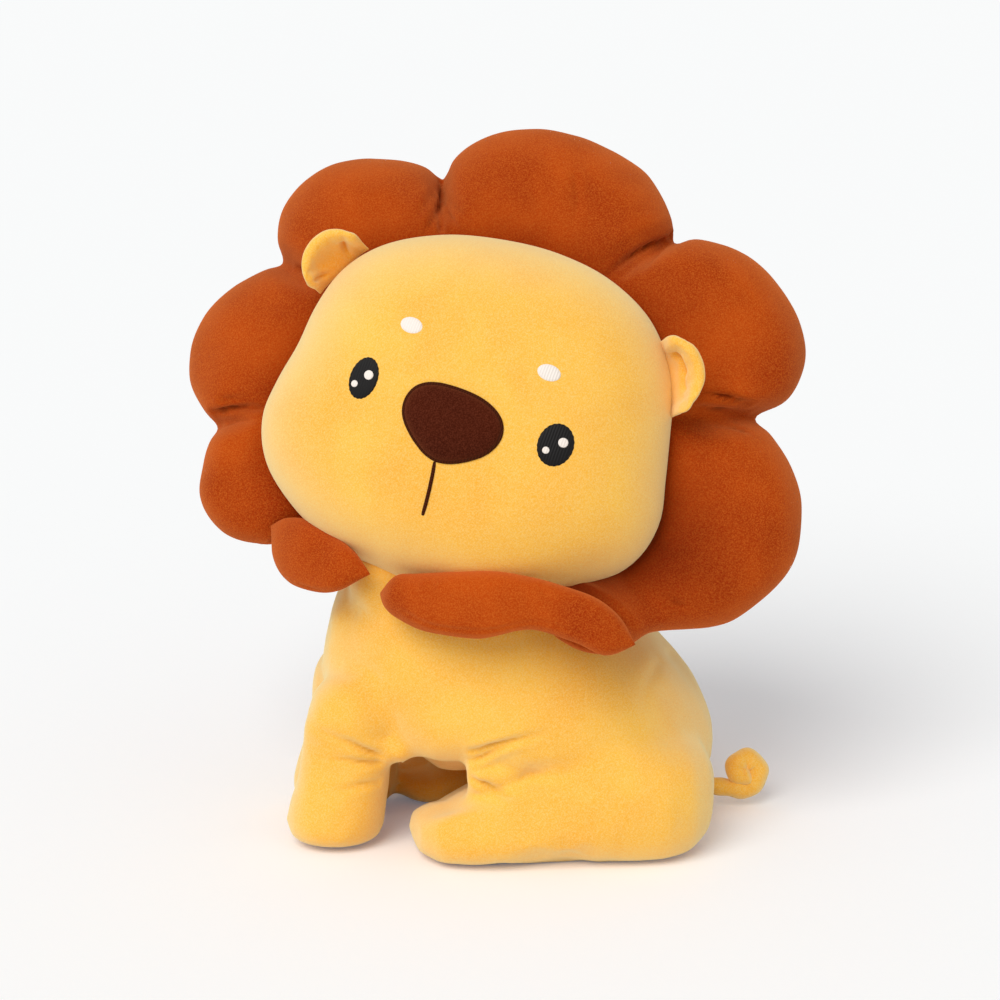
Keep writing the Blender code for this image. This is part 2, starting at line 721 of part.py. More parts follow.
def make_eyes(neck):
    glint_lift = STITCH + GAP + GAP
    for side, name in ((-1, "left"), (1, "right")):
        x = EYE_SHIFT + side * EYE_SPREAD
        z = -EYE_DROP
        eye = patch_surface(x, z, 0, oval(EYE_HALF_WIDTH, EYE_HALF_HEIGHT), STITCH, GAP)
        add_patch(f"{name}_eye", 20, 6, eye, BLACK, neck)
        for glint, radius, across, up in (
            ("big_glint", GLINT_RADIUS, EYE_HALF_WIDTH / 3, EYE_HALF_HEIGHT / 5),
            ("small_glint", SMALL_GLINT_RADIUS, -EYE_HALF_WIDTH / 2, -EYE_HALF_HEIGHT / 6),
        ):
            spot = patch_surface(x + across, z + up, 0, oval(radius, radius), STITCH, glint_lift)
            add_patch(f"{name}_eye_{glint}", 10, 4, spot, WHITE, neck)
        x = FEATURE_SHIFT + side * BROW_SPREAD
        brow = patch_surface(x, BROW_RISE, 0, oval(BROW_HALF_LENGTH, BROW_HALF_WIDTH), STITCH, GAP)
        add_patch(f"{name}_brow", 14, 4, brow, WHITE, neck)


def make_mouth(neck):
    top = -NOSE_DROP - (NOSE_HALF_HEIGHT + NOSE_EDGE_RADIUS) * (1 + NOSE_CORNER_SHARE) - COVER
    middle = top - MOUTH_LENGTH / 2
    line = patch_surface(FEATURE_SHIFT, middle, 0, oval(MOUTH_HALF_WIDTH, MOUTH_LENGTH / 2), STITCH, GAP)
    add_patch("mouth_stitch", 16, 4, line, BROWN_EDGE, neck)


def make_tail():
    """A thin tube that leaves the rump low down and curls up into a small knot."""
    back_end = 0.0
    for step in range(101):
        height, _, back, _ = smooth_row(TORSO_SHARES, step / 100)
        if TORSO_HEIGHT * height <= TAIL_HEIGHT:
            back_end = TORSO_LENGTH * back
    root = Vector((back_end - TAIL_TUCK, -TAIL_SIDE, TAIL_HEIGHT))
    pivot = root + Vector((TAIL_RADIUS, 0, 0))
    axis = add_axis("tail_hinge", Matrix.Translation(pivot))
    rows = [(index, *row) for index, row in enumerate(TAIL_SHARES)]

    def surface(unit):
        place = (1 - atan2(hypot(unit.x, unit.y), unit.z) / pi) * (len(rows) - 1)
        here = Vector(smooth_row(rows, place))
        ahead = Vector(smooth_row(rows, min(place + MERGE * len(rows), len(rows) - 1)))
        behind = Vector(smooth_row(rows, max(place - MERGE * len(rows), 0)))
        direction = (ahead - behind).normalized()
        side = direction.cross(Vector((0, 1, 0))).normalized()
        other = direction.cross(side)
        ring = max(hypot(unit.x, unit.y), MERGE)
        end = min(place, len(rows) - 1 - place) * TAIL_LENGTH / 4
        radius = TAIL_RADIUS * min(sqrt(max(1 - (1 - min(end / TAIL_RADIUS, 1)) ** 2, 0)), 1)
        offset = side * (radius * unit.x / ring) + other * (radius * unit.y / ring)
        return root + here * TAIL_LENGTH + offset

    add_piece("tail", shaped_ball(8, 30, surface), YELLOW, origin=pivot, parent=axis)


def main():
    tilt_axis = Vector((0, 1, 0))
    head_sweep = add_swept_cutter("head_sweep", NECK_POINT, tilt_axis, -TILT_RANGE, TILT_RANGE)
    head_room = add_cutter("head_room", shaped_ball(32, 16, head_surface, -2 * GAP), HEAD_FRAME)
    make_torso(head_sweep)
    make_seat_panel()
    torso_room = add_cutter("torso_room", shaped_ball(32, 18, torso_surface(OVERRUN), -2.6 * GAP))
    make_legs(torso_room)
    neck = add_axis("neck_joint", HEAD_FRAME @ Matrix.Translation(NECK_POINT))
    make_head(neck)
    make_mane(neck, head_room)
    make_chin_lobes(neck)
    make_ears(neck)
    make_nose(neck)
    make_eyes(neck)
    make_mouth(neck)
    make_tail()


main()
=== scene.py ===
"""A sitting plush lion of short-pile velour, as it is sewn, stuffed and photographed.

Lengths are in metres and +Z is up. The body lies along X with its chest at -X, and its left side
is at -Y. The head has a frame of its own: x to the right as one looks at the face, y towards the
back of the head, z towards the crown.
"""

from math import atan2, copysign, cos, exp, hypot, pi, radians, sin, sqrt

import bmesh
import bpy
from mathutils import Matrix, Vector, noise
from mathutils.bvhtree import BVHTree
from mathutils.kdtree import KDTree


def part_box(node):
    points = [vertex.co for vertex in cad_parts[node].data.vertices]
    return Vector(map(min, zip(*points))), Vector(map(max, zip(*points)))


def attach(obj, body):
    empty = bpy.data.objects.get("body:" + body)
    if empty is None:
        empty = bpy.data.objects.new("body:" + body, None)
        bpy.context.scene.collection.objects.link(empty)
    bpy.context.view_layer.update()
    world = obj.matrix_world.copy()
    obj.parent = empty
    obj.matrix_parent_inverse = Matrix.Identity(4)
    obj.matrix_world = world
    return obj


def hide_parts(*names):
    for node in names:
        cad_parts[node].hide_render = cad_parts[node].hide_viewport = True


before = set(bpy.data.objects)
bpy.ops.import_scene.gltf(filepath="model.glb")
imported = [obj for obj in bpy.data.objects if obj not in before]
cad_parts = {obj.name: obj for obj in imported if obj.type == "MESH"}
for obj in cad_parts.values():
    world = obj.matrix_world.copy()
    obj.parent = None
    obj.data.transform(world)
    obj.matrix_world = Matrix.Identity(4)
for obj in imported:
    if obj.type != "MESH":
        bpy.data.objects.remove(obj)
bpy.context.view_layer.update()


# The camera stands low in front of the lion's left side, a little above its back, as in the
# photograph. Its lens follows from the size of a pixel at the lion and the distance.
VIEW_TARGET = Vector((-0.050, 0.0, 0.180))
VIEW_TURN = radians(-10)
VIEW_DOWN = radians(14)
VIEW_DISTANCE = 1.40
PIXEL = 0.000544
PICTURE = 1000
SENSOR = 36

view_turn = Matrix.Rotation(VIEW_TURN, 4, "Z") @ Matrix.Rotation(-VIEW_DOWN, 4, "X")
view_place = VIEW_TARGET - view_turn @ Vector((0, VIEW_DISTANCE, 0))
bpy.ops.object.camera_add()
camera = bpy.context.object
level = Matrix.Rotation(radians(90), 4, "X")
camera.matrix_world = Matrix.Translation(view_place) @ view_turn @ level
camera.data.sensor_width = SENSOR
camera.data.lens = SENSOR * VIEW_DISTANCE / (PICTURE * PIXEL)
bpy.context.scene.camera = camera
bpy.context.scene.view_settings.view_transform = "Standard"


# The lion sits on a wide sheet of matte white paper, which is seen as near white, and keeps the
# soft shadow that the lion throws to the right and behind.
FLOOR_SIZE = 40
FLOOR_DROP = 0.0006
FLOOR_CUTS = 7
PAPER = "#F8F8F5"
# What the paper's own glow adds to its colour for the camera only, so that it reads as near white
PAPER_LIFT = (0.080, 0.090, 0.115, 1.0)


def linear(hex_colour):
    """An sRGB hex colour as linear red, green, blue and alpha."""
    values = []
    for place in (1, 3, 5):
        value = int(hex_colour[place:place + 2], 16) / 255
        values.append(value / 12.92 if value <= 0.04045 else ((value + 0.055) / 1.055) ** 2.4)
    return (*values, 1.0)


def add_node(tree, kind, settings=None, links=None):
    """A node with its settings by name, and its sockets set or linked by name or number."""
    node = tree.nodes.new(kind)
    for name, value in (settings or {}).items():
        setattr(node, name, value)
    for name, value in (links or {}).items():
        if isinstance(value, bpy.types.NodeSocket):
            tree.links.new(value, node.inputs[name])
        else:
            node.inputs[name].default_value = value
    return node


def new_material(name):
    material = bpy.data.materials.new(name)
    material.use_nodes = True
    shader = material.node_tree.nodes["Principled BSDF"]
    return material, material.node_tree, shader


def deselect():
    bpy.ops.object.select_all(action="DESELECT")


deselect()
bpy.ops.mesh.primitive_plane_add(size=FLOOR_SIZE, location=(0, 0, -FLOOR_DROP))
floor = bpy.context.object
floor.name = "floor"
bpy.ops.object.mode_set(mode="EDIT")
bpy.ops.mesh.subdivide(number_cuts=FLOOR_CUTS)
bpy.ops.object.mode_set(mode="OBJECT")
paper, tree, shader = new_material("matte_white_paper")
shader.inputs["Base Color"].default_value = linear(PAPER)
shader.inputs["Roughness"].default_value = 1.0
shader.inputs["Specular IOR Level"].default_value = 0.0
lift = add_node(tree, "ShaderNodeEmission", None, {"Color": PAPER_LIFT})
lifted = add_node(tree, "ShaderNodeAddShader", None, {0: shader.outputs[0], 1: lift.outputs[0]})
path = add_node(tree, "ShaderNodeLightPath")
seen = add_node(
    tree, "ShaderNodeMath", {"operation": "MAXIMUM"},
    {0: path.outputs["Is Camera Ray"], 1: path.outputs["Is Glossy Ray"]},
)
chosen = add_node(
    tree, "ShaderNodeMixShader", None,
    {0: seen.outputs[0], 1: shader.outputs[0], 2: lifted.outputs[0]},
)
tree.links.new(chosen.outputs[0], tree.nodes["Material Output"].inputs["Surface"])
floor.data.materials.append(paper)


# Light is soft: one very wide lamp high at the left in front, in a white room.
KEY_FROM = Vector((-0.55, -0.70, 0.85))
KEY_ANGLE = radians(40)
KEY_STRENGTH = 1.85
ROOM_STRENGTH = 0.52

bpy.ops.object.light_add(type="SUN", location=KEY_FROM)
lamp = bpy.context.object
lamp.name = "key_lamp"
lamp.data.energy = KEY_STRENGTH
lamp.data.angle = KEY_ANGLE
lamp.rotation_euler = (-KEY_FROM).to_track_quat("-Z", "Y").to_euler()
room = bpy.data.worlds.new("white_room")
room.use_nodes = True
bpy.context.scene.world = room
tree = room.node_tree
back = tree.nodes["Background"]
back.inputs["Color"].default_value = (1, 1, 1, 1)
path = add_node(tree, "ShaderNodeLightPath")
seen = add_node(
    tree, "ShaderNodeMath", {"operation": "MAXIMUM"},
    {0: path.outputs["Is Camera Ray"], 1: path.outputs["Is Glossy Ray"]},
)
strength = add_node(
    tree, "ShaderNodeMix", {"data_type": "FLOAT"},
    {0: seen.outputs[0], 2: ROOM_STRENGTH, 3: 1.0},
)
tree.links.new(strength.outputs[0], back.inputs["Strength"])


# The body is one velour skin, stuffed with loose fibre: chest, belly, rump and four short legs.
# It takes the shape of its solids, then swells under its filling, and its skin is drawn in where
# the legs meet the belly. A pouch of pellets weighs the seat down, and the feet are flat below.
BODY_NODES = ["torso_cover", "torso_filling", "bean_bag"]
LEG_NODES = [
    f"{side}_{end}_leg_{part}"
    for side in ("left", "right")
    for end in ("front", "hind")
    for part in ("cover", "filling")
]
# Grains in the pile, as noise scales per metre: leaning patches 45 mm, tufts 0.7 mm, nap 1.6 mm
PATCH_SCALE, TUFT_SCALE, NAP_SCALE = 22, 1350, 620
NAP_DEPTH = 0.0009
# Where the painted sheen at the outline starts, as a share of the facing
PAINTED_SHEEN_START = 0.12
BODY_VOXEL = 0.0034
BODY_SMOOTHING = 8
BODY_SHRINK = 0.0008
# Soft waves in the filling: each one's length and height
BODY_WAVES = ((0.070, 0.0012), (0.030, 0.0005))
BODY_PRESSURE = 3.0
BODY_FRAMES = 16
BODY_SWELL = 0.0035
# Painted shade: between the legs and under the belly the pile is darkened, where it lies in shade
UNDER_SHADE = 0.28
UNDER_TOP = 0.070
UNDER_FADE = 0.025
UNDER_REACH = 0.078
UNDER_GAIN = 1.6
YELLOW = "#FFC242"
YELLOW_DEEP = "#F9AE2C"
YELLOW_PALE = "#FFDA88"
# Painted sheen colour towards the outline, and painted shade colour for folds and hollows
YELLOW_SHEEN = "#FFF0BC"
YELLOW_FOLD_SHADE = "#E5850F"

# A fold's section, in its own widths: the press, the low swell beside it and the shaded bottom
PRESS_WIDTH, SWELL_AT, SWELL_WIDTH, SHADE_WIDTH = 0.62, 1.5, 0.8, 0.42
FOLD_REACH = 3
FOLD_STEPS = 12
SHADE_DEPTH = 0.0025
CREASE_SHOULDER = 0.3
CLOTH_QUALITY = 4
# Folds, each as points of the picture, how deep it is and how wide, in millimetres
BODY_CREASES = (
    (((474, 751), (500, 744), (525, 738), (549, 732)), 3.6, 3.0),
    (((474, 760), (488, 754), (502, 748), (517, 741)), 3.0, 2.6),
    (((472, 779), (486, 785), (500, 792), (517, 799)), 3.4, 2.8),
    (((473, 769), (486, 767), (498, 766)), 1.6, 2.8),
    (((380, 756), (364, 750), (348, 742), (318, 729)), 3.2, 3.0),
    (((380, 763), (362, 762), (344, 760), (322, 758)), 2.8, 2.8),
    (((378, 782), (360, 785), (346, 788), (330, 790)), 1.8, 3.0),
    (((660, 662), (648, 684), (640, 710)), 0.8, 5.0),
)
# Painted shade at the bottoms of the body's folds
BODY_FOLD_SHADE = 0.55
# Where the filling lies fuller than the solids, or less full, in the same way
BODY_SHAPING = (
    (((344, 606), (337, 630), (330, 652), (324, 668)), -3.6, 16.0),
    (((668, 646), (684, 668), (698, 694)), 2.4, 22.0),
    (((315, 720), (309, 740), (303, 765), (299, 790)), -3.0, 12.0),
)
# Each drawn along: a point of the picture, pixels right and down, and the reach in millimetres
BODY_GRABS = (
    ((428, 746), (0, 9), 26), ((428, 806), (0, 5), 18), ((452, 797), (1, 5), 16),
)
# The skin runs across between leg and belly, and up under the chin: place and radius
GUSSETS = (
    ((-0.0700, 0.0660, 0.0465), 0.0105),
    ((-0.0580, 0.0635, 0.0470), 0.0130),
    ((-0.1145, 0.0420, 0.0565), 0.0100),
)
NECK = ((-0.1150, -0.0220, 0.1430), 0.0215)
# The hind feet are rounder on their inner side than the solids
FOOT_INNER, FOOT_OUTER = 0.030, 0.080
FOOT_START, FOOT_END = -0.064, -0.088
FOOT_TOP = 0.050
FOOT_FADE = 0.010
FOOT_DROP = 0.42
FRONT_FOOT_EDGE = -0.1112
# The front legs stand side by side, with a gap between them for their skins to swell into
LEG_GAP_HALF = 0.0050
LEG_GAP_TOP = 0.076
LEG_GAP_BACK = -0.105


def velour(name, middle, deep, pale, sheen_colour, painted_shade, sheen, patchy, speckle, shine):
    """Short-pile knitted velour: it looks matte, mottled in soft patches where the pile leans and
    speckled by its tufts.
    Painted sheen makes it paler where it is seen at a grazing angle, and painted shade makes it
    deeper in folds and hollows."""
    material, tree, shader = new_material(name)
    place = add_node(tree, "ShaderNodeTexCoord").outputs["Object"]
    lean = add_node(
        tree, "ShaderNodeTexNoise", None,
        {"Vector": place, "Scale": PATCH_SCALE, "Detail": 2, "Roughness": 0.5, "Distortion": 0.3},
    )
    lean_range = add_node(
        tree, "ShaderNodeMapRange", None, {0: lean.outputs[0], 1: 0.5 - patchy, 2: 0.5 + patchy},
    )
    wide = add_node(
        tree, "ShaderNodeMix", {"data_type": "RGBA"},
        {0: lean_range.outputs[0], 6: linear(deep), 7: linear(middle)},
    )
    tuft = add_node(
        tree, "ShaderNodeTexNoise", None,
        {"Vector": place, "Scale": TUFT_SCALE, "Detail": 2, "Roughness": 0.7},
    )
    tuft_range = add_node(
        tree, "ShaderNodeMapRange", None,
        {0: tuft.outputs[0], 1: 0.40, 2: 0.66, 3: 0.0, 4: speckle},
    )
    fine = add_node(
        tree, "ShaderNodeMix", {"data_type": "RGBA"},
        {0: tuft_range.outputs[0], 6: wide.outputs[2], 7: linear(pale)},
    )
    # Painted shade: a point attribute turns the colour towards the shade colour in folds, hollows
    # and under parts
    shade_attribute = add_node(tree, "ShaderNodeAttribute", {"attribute_name": "painted_shade"})
    with_painted_shade = add_node(
        tree, "ShaderNodeMix", {"data_type": "RGBA"},
        {0: shade_attribute.outputs["Fac"], 6: fine.outputs[2], 7: linear(painted_shade)},
    )
    # Painted sheen: the base colour turns paler towards the outline, where the tips of the pile
    # catch the light
    grazing = add_node(tree, "ShaderNodeLayerWeight", None, {"Blend": 0.35})
    painted_sheen = add_node(
        tree, "ShaderNodeMapRange", None,
        {0: grazing.outputs["Facing"], 1: PAINTED_SHEEN_START, 2: 1.0, 3: 0.0, 4: sheen},
    )
    with_painted_sheen = add_node(
        tree, "ShaderNodeMix", {"data_type": "RGBA"},
        {0: painted_sheen.outputs[0], 6: with_painted_shade.outputs[2], 7: linear(sheen_colour)},
    )
    tree.links.new(with_painted_sheen.outputs[2], shader.inputs["Base Color"])
    shader.inputs["Roughness"].default_value = 0.80
    shader.inputs["Specular IOR Level"].default_value = shine
    shader.inputs["Sheen Weight"].default_value = 0.5
    shader.inputs["Sheen Roughness"].default_value = 0.5
    shader.inputs["Sheen Tint"].default_value = linear(sheen_colour)
    nap = add_node(
        tree, "ShaderNodeTexNoise", None,
        {"Vector": place, "Scale": NAP_SCALE, "Detail": 4, "Roughness": 0.8},
    )
    bump = add_node(
        tree, "ShaderNodeBump", None,
        {"Strength": 0.6, "Distance": NAP_DEPTH, "Height": nap.outputs[0]},
    )
    tree.links.new(bump.outputs[0], shader.inputs["Normal"])
    return material


yellow_velour = velour(
    "yellow_short_pile_velour",
    YELLOW, YELLOW_DEEP, YELLOW_PALE, YELLOW_SHEEN, YELLOW_FOLD_SHADE, 0.80, 0.25, 0.55, 0.25,
)


def activate(piece):
    deselect()
    piece.select_set(True)
    bpy.context.view_layer.objects.active = piece


def joined_copy(name, nodes):
    """A new object with the shapes of some CAD nodes, each merged first."""
    copies = []
    for node in nodes:
        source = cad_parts[node]
        copy = bpy.data.objects.new(name, source.data.copy())
        copy.matrix_world = source.matrix_world
        bpy.context.scene.collection.objects.link(copy)
        shell = bmesh.new()
        shell.from_mesh(copy.data)
        bmesh.ops.remove_doubles(shell, verts=shell.verts, dist=0.00002)
        shell.to_mesh(copy.data)
        shell.free()
        copy.data.materials.clear()
        copies.append(copy)
    deselect()
    for copy in copies:
        copy.select_set(True)
    bpy.context.view_layer.objects.active = copies[0]
    bpy.ops.object.join()
    piece = bpy.context.object
    piece.name = name
    bpy.ops.object.transform_apply(location=True, rotation=True, scale=True)
    return piece


def apply_modifier(piece, kind, settings):
    activate(piece)
    change = piece.modifiers.new(kind.lower(), kind)
    for name, value in settings.items():
        setattr(change, name, value)
    bpy.ops.object.modifier_apply(modifier=change.name)


def stuff(piece, pressure, frames, most, pinned=()):
    """Swell a skin by simulation, with the seams held and no point moved past the most allowed."""
    activate(piece)
    before = [vertex.co.copy() for vertex in piece.data.vertices]
    change = piece.modifiers.new("filling", "CLOTH")
    cloth = change.settings
    cloth.quality = CLOTH_QUALITY
    cloth.use_pressure = True
    cloth.uniform_pressure_force = pressure
    cloth.effector_weights.gravity = 0
    if pinned:
        group = piece.vertex_groups.new(name="seam")
        group.add(list(pinned), 1.0, "REPLACE")
        cloth.vertex_group_mass = "seam"
    change.point_cache.frame_start = 1
    change.point_cache.frame_end = frames
    for step in range(1, frames + 1):
        bpy.context.scene.frame_set(step)
    bpy.ops.object.modifier_apply(modifier=change.name)
    bpy.context.scene.frame_set(1)
    for vertex, old in zip(piece.data.vertices, before):
        move = vertex.co - old
        if move.length > most:
            vertex.co = old + move * (most / move.length)


def surface_of(piece):
    """A tree of a piece's faces, for finding where a line meets it."""
    points = [vertex.co.copy() for vertex in piece.data.vertices]
    faces = [tuple(polygon.vertices) for polygon in piece.data.polygons]
    return BVHTree.FromPolygons(points, faces)


def seen_at(tree, x, y):
    """The place on a surface that the camera sees at a point of the picture."""
    sight = Vector(((x - PICTURE / 2) * PIXEL, VIEW_DISTANCE, (PICTURE / 2 - y) * PIXEL))
    return tree.ray_cast(view_place, view_turn.to_3x3() @ sight.normalized())[0]


def smooth_row(table, place):
    """The values of a table's columns at a place, on a smooth curve through its rows."""
    last = len(table) - 2
    index = 0
    while index < last and place > table[index + 1][0]:
        index += 1
    start = table[index]
    end = table[index + 1]
    before = table[max(index - 1, 0)]
    after = table[min(index + 2, len(table) - 1)]
    span = end[0] - start[0]
    step = min(max((place - start[0]) / span, 0.0), 1.0)
    values = []
    for column in range(1, len(start)):
        slope_in = (end[column] - before[column]) / (end[0] - before[0]) * span
        slope_out = (after[column] - start[column]) / (after[0] - start[0]) * span
        rise = 2 * step**3 - 3 * step**2 + 1
        values.append(
            rise * start[column]
            + (step**3 - 2 * step**2 + step) * slope_in
            + (1 - rise) * end[column]
            + (step**3 - step**2) * slope_out
        )
    return values


def unevenness(piece, waves):
    """Shift a piece's skin in and out by soft waves, each given by its length and its height."""
    normals = [vertex.normal.copy() for vertex in piece.data.vertices]
    for vertex, normal in zip(piece.data.vertices, normals):
        drift = sum(noise.noise(vertex.co / length) * height for length, height in waves)
        vertex.co += normal * drift


def painted_shade_marks(piece):
    """How much painted shade each point of a piece has, from 0 to 1, in its folds and hollows, for
    the colour of its pile.
    """
    return piece.data.attributes.get("painted_shade") or piece.data.attributes.new("painted_shade", "FLOAT", "POINT")


def grab(piece, moves):
    """Draw a skin along as a hand would: at a point of the picture, by so many of its pixels to
    the right and down, as far as so many millimetres around."""
    for (x, y), (right, down), reach in moves:
        centre = seen_at(surface_of(piece), x, y)
        if centre is None:
            continue
        shift = view_turn.to_3x3() @ Vector((right * PIXEL, 0, -down * PIXEL))
        for vertex in piece.data.vertices:
            gap = (vertex.co - centre).length / (reach * 0.001)
            if gap < 1:
                vertex.co += shift * (1 - gap * gap) ** 2


def crease(piece, lines, mirrored=False, shoulder=CREASE_SHOULDER, shade=0.0):
    """Press folds into a piece along lines of the picture, each with a low swell at both sides,
    and the same on the other side of the body where it is mirrored. A negative depth fills out."""
    surface = surface_of(piece)
    tree = KDTree(len(piece.data.vertices))
    for vertex in piece.data.vertices:
        tree.insert(vertex.co, vertex.index)
    tree.balance()
    normals = [vertex.normal.copy() for vertex in piece.data.vertices]
    moves = {}
    shades = {}
    for line, depth, width in lines:
        width = width * 0.001
        depth = depth * 0.001
        points = [seen_at(surface, *point) for point in line]
        points = [point for point in points if point is not None]
        if len(points) < 2:
            continue
        rows = [(index, *point) for index, point in enumerate(points)]
        steps = FOLD_STEPS * (len(points) - 1)
        trail = []
        for step in range(steps + 1):
            share = step / steps
            here = Vector(smooth_row(rows, share * (len(points) - 1)))
            # It starts at half its depth at the seam, and runs out at its far end
            strength = min(1.0, 0.55 + 3 * share) * min(1.0, 1.25 * (1 - share) + 0.05)
            trail.append((here, strength))
        if mirrored:
            trail += [(Vector((here.x, -here.y, here.z)), strength) for here, strength in trail]
        nearest = {}
        for here, strength in trail:
            for _, index, gap in tree.find_range(here, FOLD_REACH * width):
                if index not in nearest or gap < nearest[index][0]:
                    nearest[index] = (gap, strength)
        for index, (gap, strength) in nearest.items():
            press = exp(-((gap / (PRESS_WIDTH * width)) ** 2))
            swell = shoulder * exp(-(((gap - SWELL_AT * width) / (SWELL_WIDTH * width)) ** 2))
            moves[index] = moves.get(index, 0.0) + depth * strength * (swell - press)
            dark = shade * strength * min(depth / SHADE_DEPTH, 1.0) ** 2
            dark *= exp(-((gap / (SHADE_WIDTH * width)) ** 2))
            shades[index] = max(shades.get(index, 0.0), dark)
    for index, move in moves.items():
        piece.data.vertices[index].co += normals[index] * move
    # Painted shade: the bottoms of the folds are darkened in the pile's colour
    if shade:
        folds = painted_shade_marks(piece)
        for index, dark in shades.items():
            folds.data[index].value = max(folds.data[index].value, dark)


def finish_cloth(piece, material, body, nodes):
    """Smooth shading, the material, and the calls that give the piece its place in the model."""
    piece.data.materials.clear()
    piece.data.materials.append(material)
    piece.data.shade_smooth()
    if nodes:
        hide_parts(*nodes)
    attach(piece, body)


body = joined_copy("body_skin", BODY_NODES + LEG_NODES)
for vertex in body.data.vertices:
    x, y, z = vertex.co
    if x < LEG_GAP_BACK and z < LEG_GAP_TOP and abs(y) < LEG_GAP_HALF:
        vertex.co.y = copysign(LEG_GAP_HALF, y)
gussets = [NECK]
for (x, y, z), radius in GUSSETS:
    gussets += [((x, y, z), radius), ((x, -y, z), radius)]
for place, radius in gussets:
    bpy.ops.mesh.primitive_uv_sphere_add(segments=32, ring_count=16, radius=radius, location=place)
    body.select_set(True)
    bpy.context.view_layer.objects.active = body
    bpy.ops.object.join()
apply_modifier(body, "REMESH", {"mode": "VOXEL", "voxel_size": BODY_VOXEL})
apply_modifier(body, "SMOOTH", {"factor": 0.5, "iterations": BODY_SMOOTHING})
apply_modifier(body, "DISPLACE", {"mid_level": 0.0, "strength": -BODY_SHRINK})
stuff(body, BODY_PRESSURE, BODY_FRAMES, BODY_SWELL)
apply_modifier(body, "SUBSURF", {"levels": 1, "render_levels": 1})
unevenness(body, BODY_WAVES)
crease(body, BODY_SHAPING, shoulder=0)
grab(body, BODY_GRABS)
for vertex in body.data.vertices:
    x, y, z = vertex.co
    if FRONT_FOOT_EDGE < x < FOOT_START and 0 < z < FOOT_TOP:
        inner = min(max((FOOT_OUTER - abs(y)) / (FOOT_OUTER - FOOT_INNER), 0.0), 1.0)
        ahead = min((FOOT_START - x) / (FOOT_START - FOOT_END), 1.0)
        low = min((FOOT_TOP - z) / FOOT_FADE, 1.0)
        vertex.co.z *= 1 - FOOT_DROP * inner * ahead * low
# Painted shade on the pile between the legs and under the belly, where it faces inwards or down
normals = [vertex.normal.copy() for vertex in body.data.vertices]
folds = painted_shade_marks(body)
for vertex, normal in zip(body.data.vertices, normals):
    under = min(max((UNDER_TOP - vertex.co.z) / UNDER_FADE, 0.0), 1.0)
    inwards = max(-copysign(normal.y, vertex.co.y * normal.y), -normal.z)
    if abs(vertex.co.y) >= UNDER_REACH:
        inwards = 0.0
    inwards = min(max(UNDER_GAIN * inwards, 0.0), 1.0)
    folds.data[vertex.index].value = UNDER_SHADE * under * inwards
crease(body, BODY_CREASES, mirrored=True, shade=BODY_FOLD_SHADE)
for vertex in body.data.vertices:
    vertex.co.z = max(vertex.co.z, 0.0)
finish_cloth(body, yellow_velour, "body", BODY_NODES + LEG_NODES)


# The flat oval panel under the seat is a cut piece of the same velour, sewn round its edge.
PANEL_EDGE = 0.0008
PANEL_SIDES = 96

low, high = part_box("seat_panel")
deselect()
bpy.ops.mesh.primitive_cylinder_add(vertices=PANEL_SIDES, radius=0.5, depth=1)
panel = bpy.context.object
panel.name = "seat_panel_cloth"
panel.scale = (high[0] - low[0], high[1] - low[1], high[2] - low[2])
panel.location = [(a + b) / 2 for a, b in zip(low, high)]
bpy.ops.object.transform_apply(location=True, rotation=True, scale=True)
apply_modifier(panel, "BEVEL", {"width": PANEL_EDGE, "segments": 3})
finish_cloth(panel, yellow_velour, "body", ["seat_panel"])


# The head is a stuffed ball of two panels: the yellow face in front and a rust-coloured back, sewn
# together round the widest line, where the mane comes out of the same seam.
HEAD_CENTRE = Vector((-0.0660, -0.0110, 0.2305))
HEAD_TURN = radians(-18.5)
HEAD_LOOK_UP = radians(16.9)
HEAD_TILT = radians(17.2)
HEAD_HALF_WIDTH = 0.114
FACE_DEPTH = 0.070
HEAD_BACK_DEPTH = 0.060
PLUMP = 2.25
SEAM_DRAW = 0.0030
SEAM_REACH = 0.008
HEAD_CUTS = 47
# Behind its seam each half reaches a little into the other, and its skin waves a little
HALF_OVERLAP = 0.004
HEAD_WAVE, HEAD_WAVES_PER_METRE = 0.0016, 16
HEAD_OUTLINE = (
    (-180, 0.850), (-165, 0.865), (-150, 0.912), (-136, 0.962), (-122, 1.010), (-110, 1.000),
    (-100, 0.945), (-88, 0.895), (-75, 0.905), (-62, 0.922), (-50, 0.911), (-30, 0.859),
    (-10, 0.832), (10, 0.856), (30, 0.912), (45, 0.950), (62, 0.955), (78, 0.945),
    (90, 0.972), (101, 1.030), (112, 1.045), (124, 1.005), (140, 0.965), (154, 0.925),
    (168, 0.870), (180, 0.850),
)
RUST = "#B84508"
RUST_DEEP = "#982C02"
RUST_PALE = "#D46E26"
# Painted sheen colour towards the outline, and painted shade colour for folds and hollows
RUST_SHEEN = "#DB8147"
RUST_FOLD_SHADE = "#5E1602"
head_frame = (
    Matrix.Translation(HEAD_CENTRE)
    @ Matrix.Rotation(HEAD_TURN, 4, "Z")
    @ Matrix.Rotation(-HEAD_LOOK_UP, 4, "X")
    @ Matrix.Rotation(HEAD_TILT, 4, "Y")
)
rust_velour = velour(
    "rust_short_pile_velour",
    RUST, RUST_DEEP, RUST_PALE, RUST_SHEEN, RUST_FOLD_SHADE, 0.50, 0.17, 0.50, 0.04,
)


def head_radius(angle):
    """How far the seam lies from the head's middle, at an angle from the crown."""
    (share,) = smooth_row(HEAD_OUTLINE, angle * 180 / pi)
    return HEAD_HALF_WIDTH * share


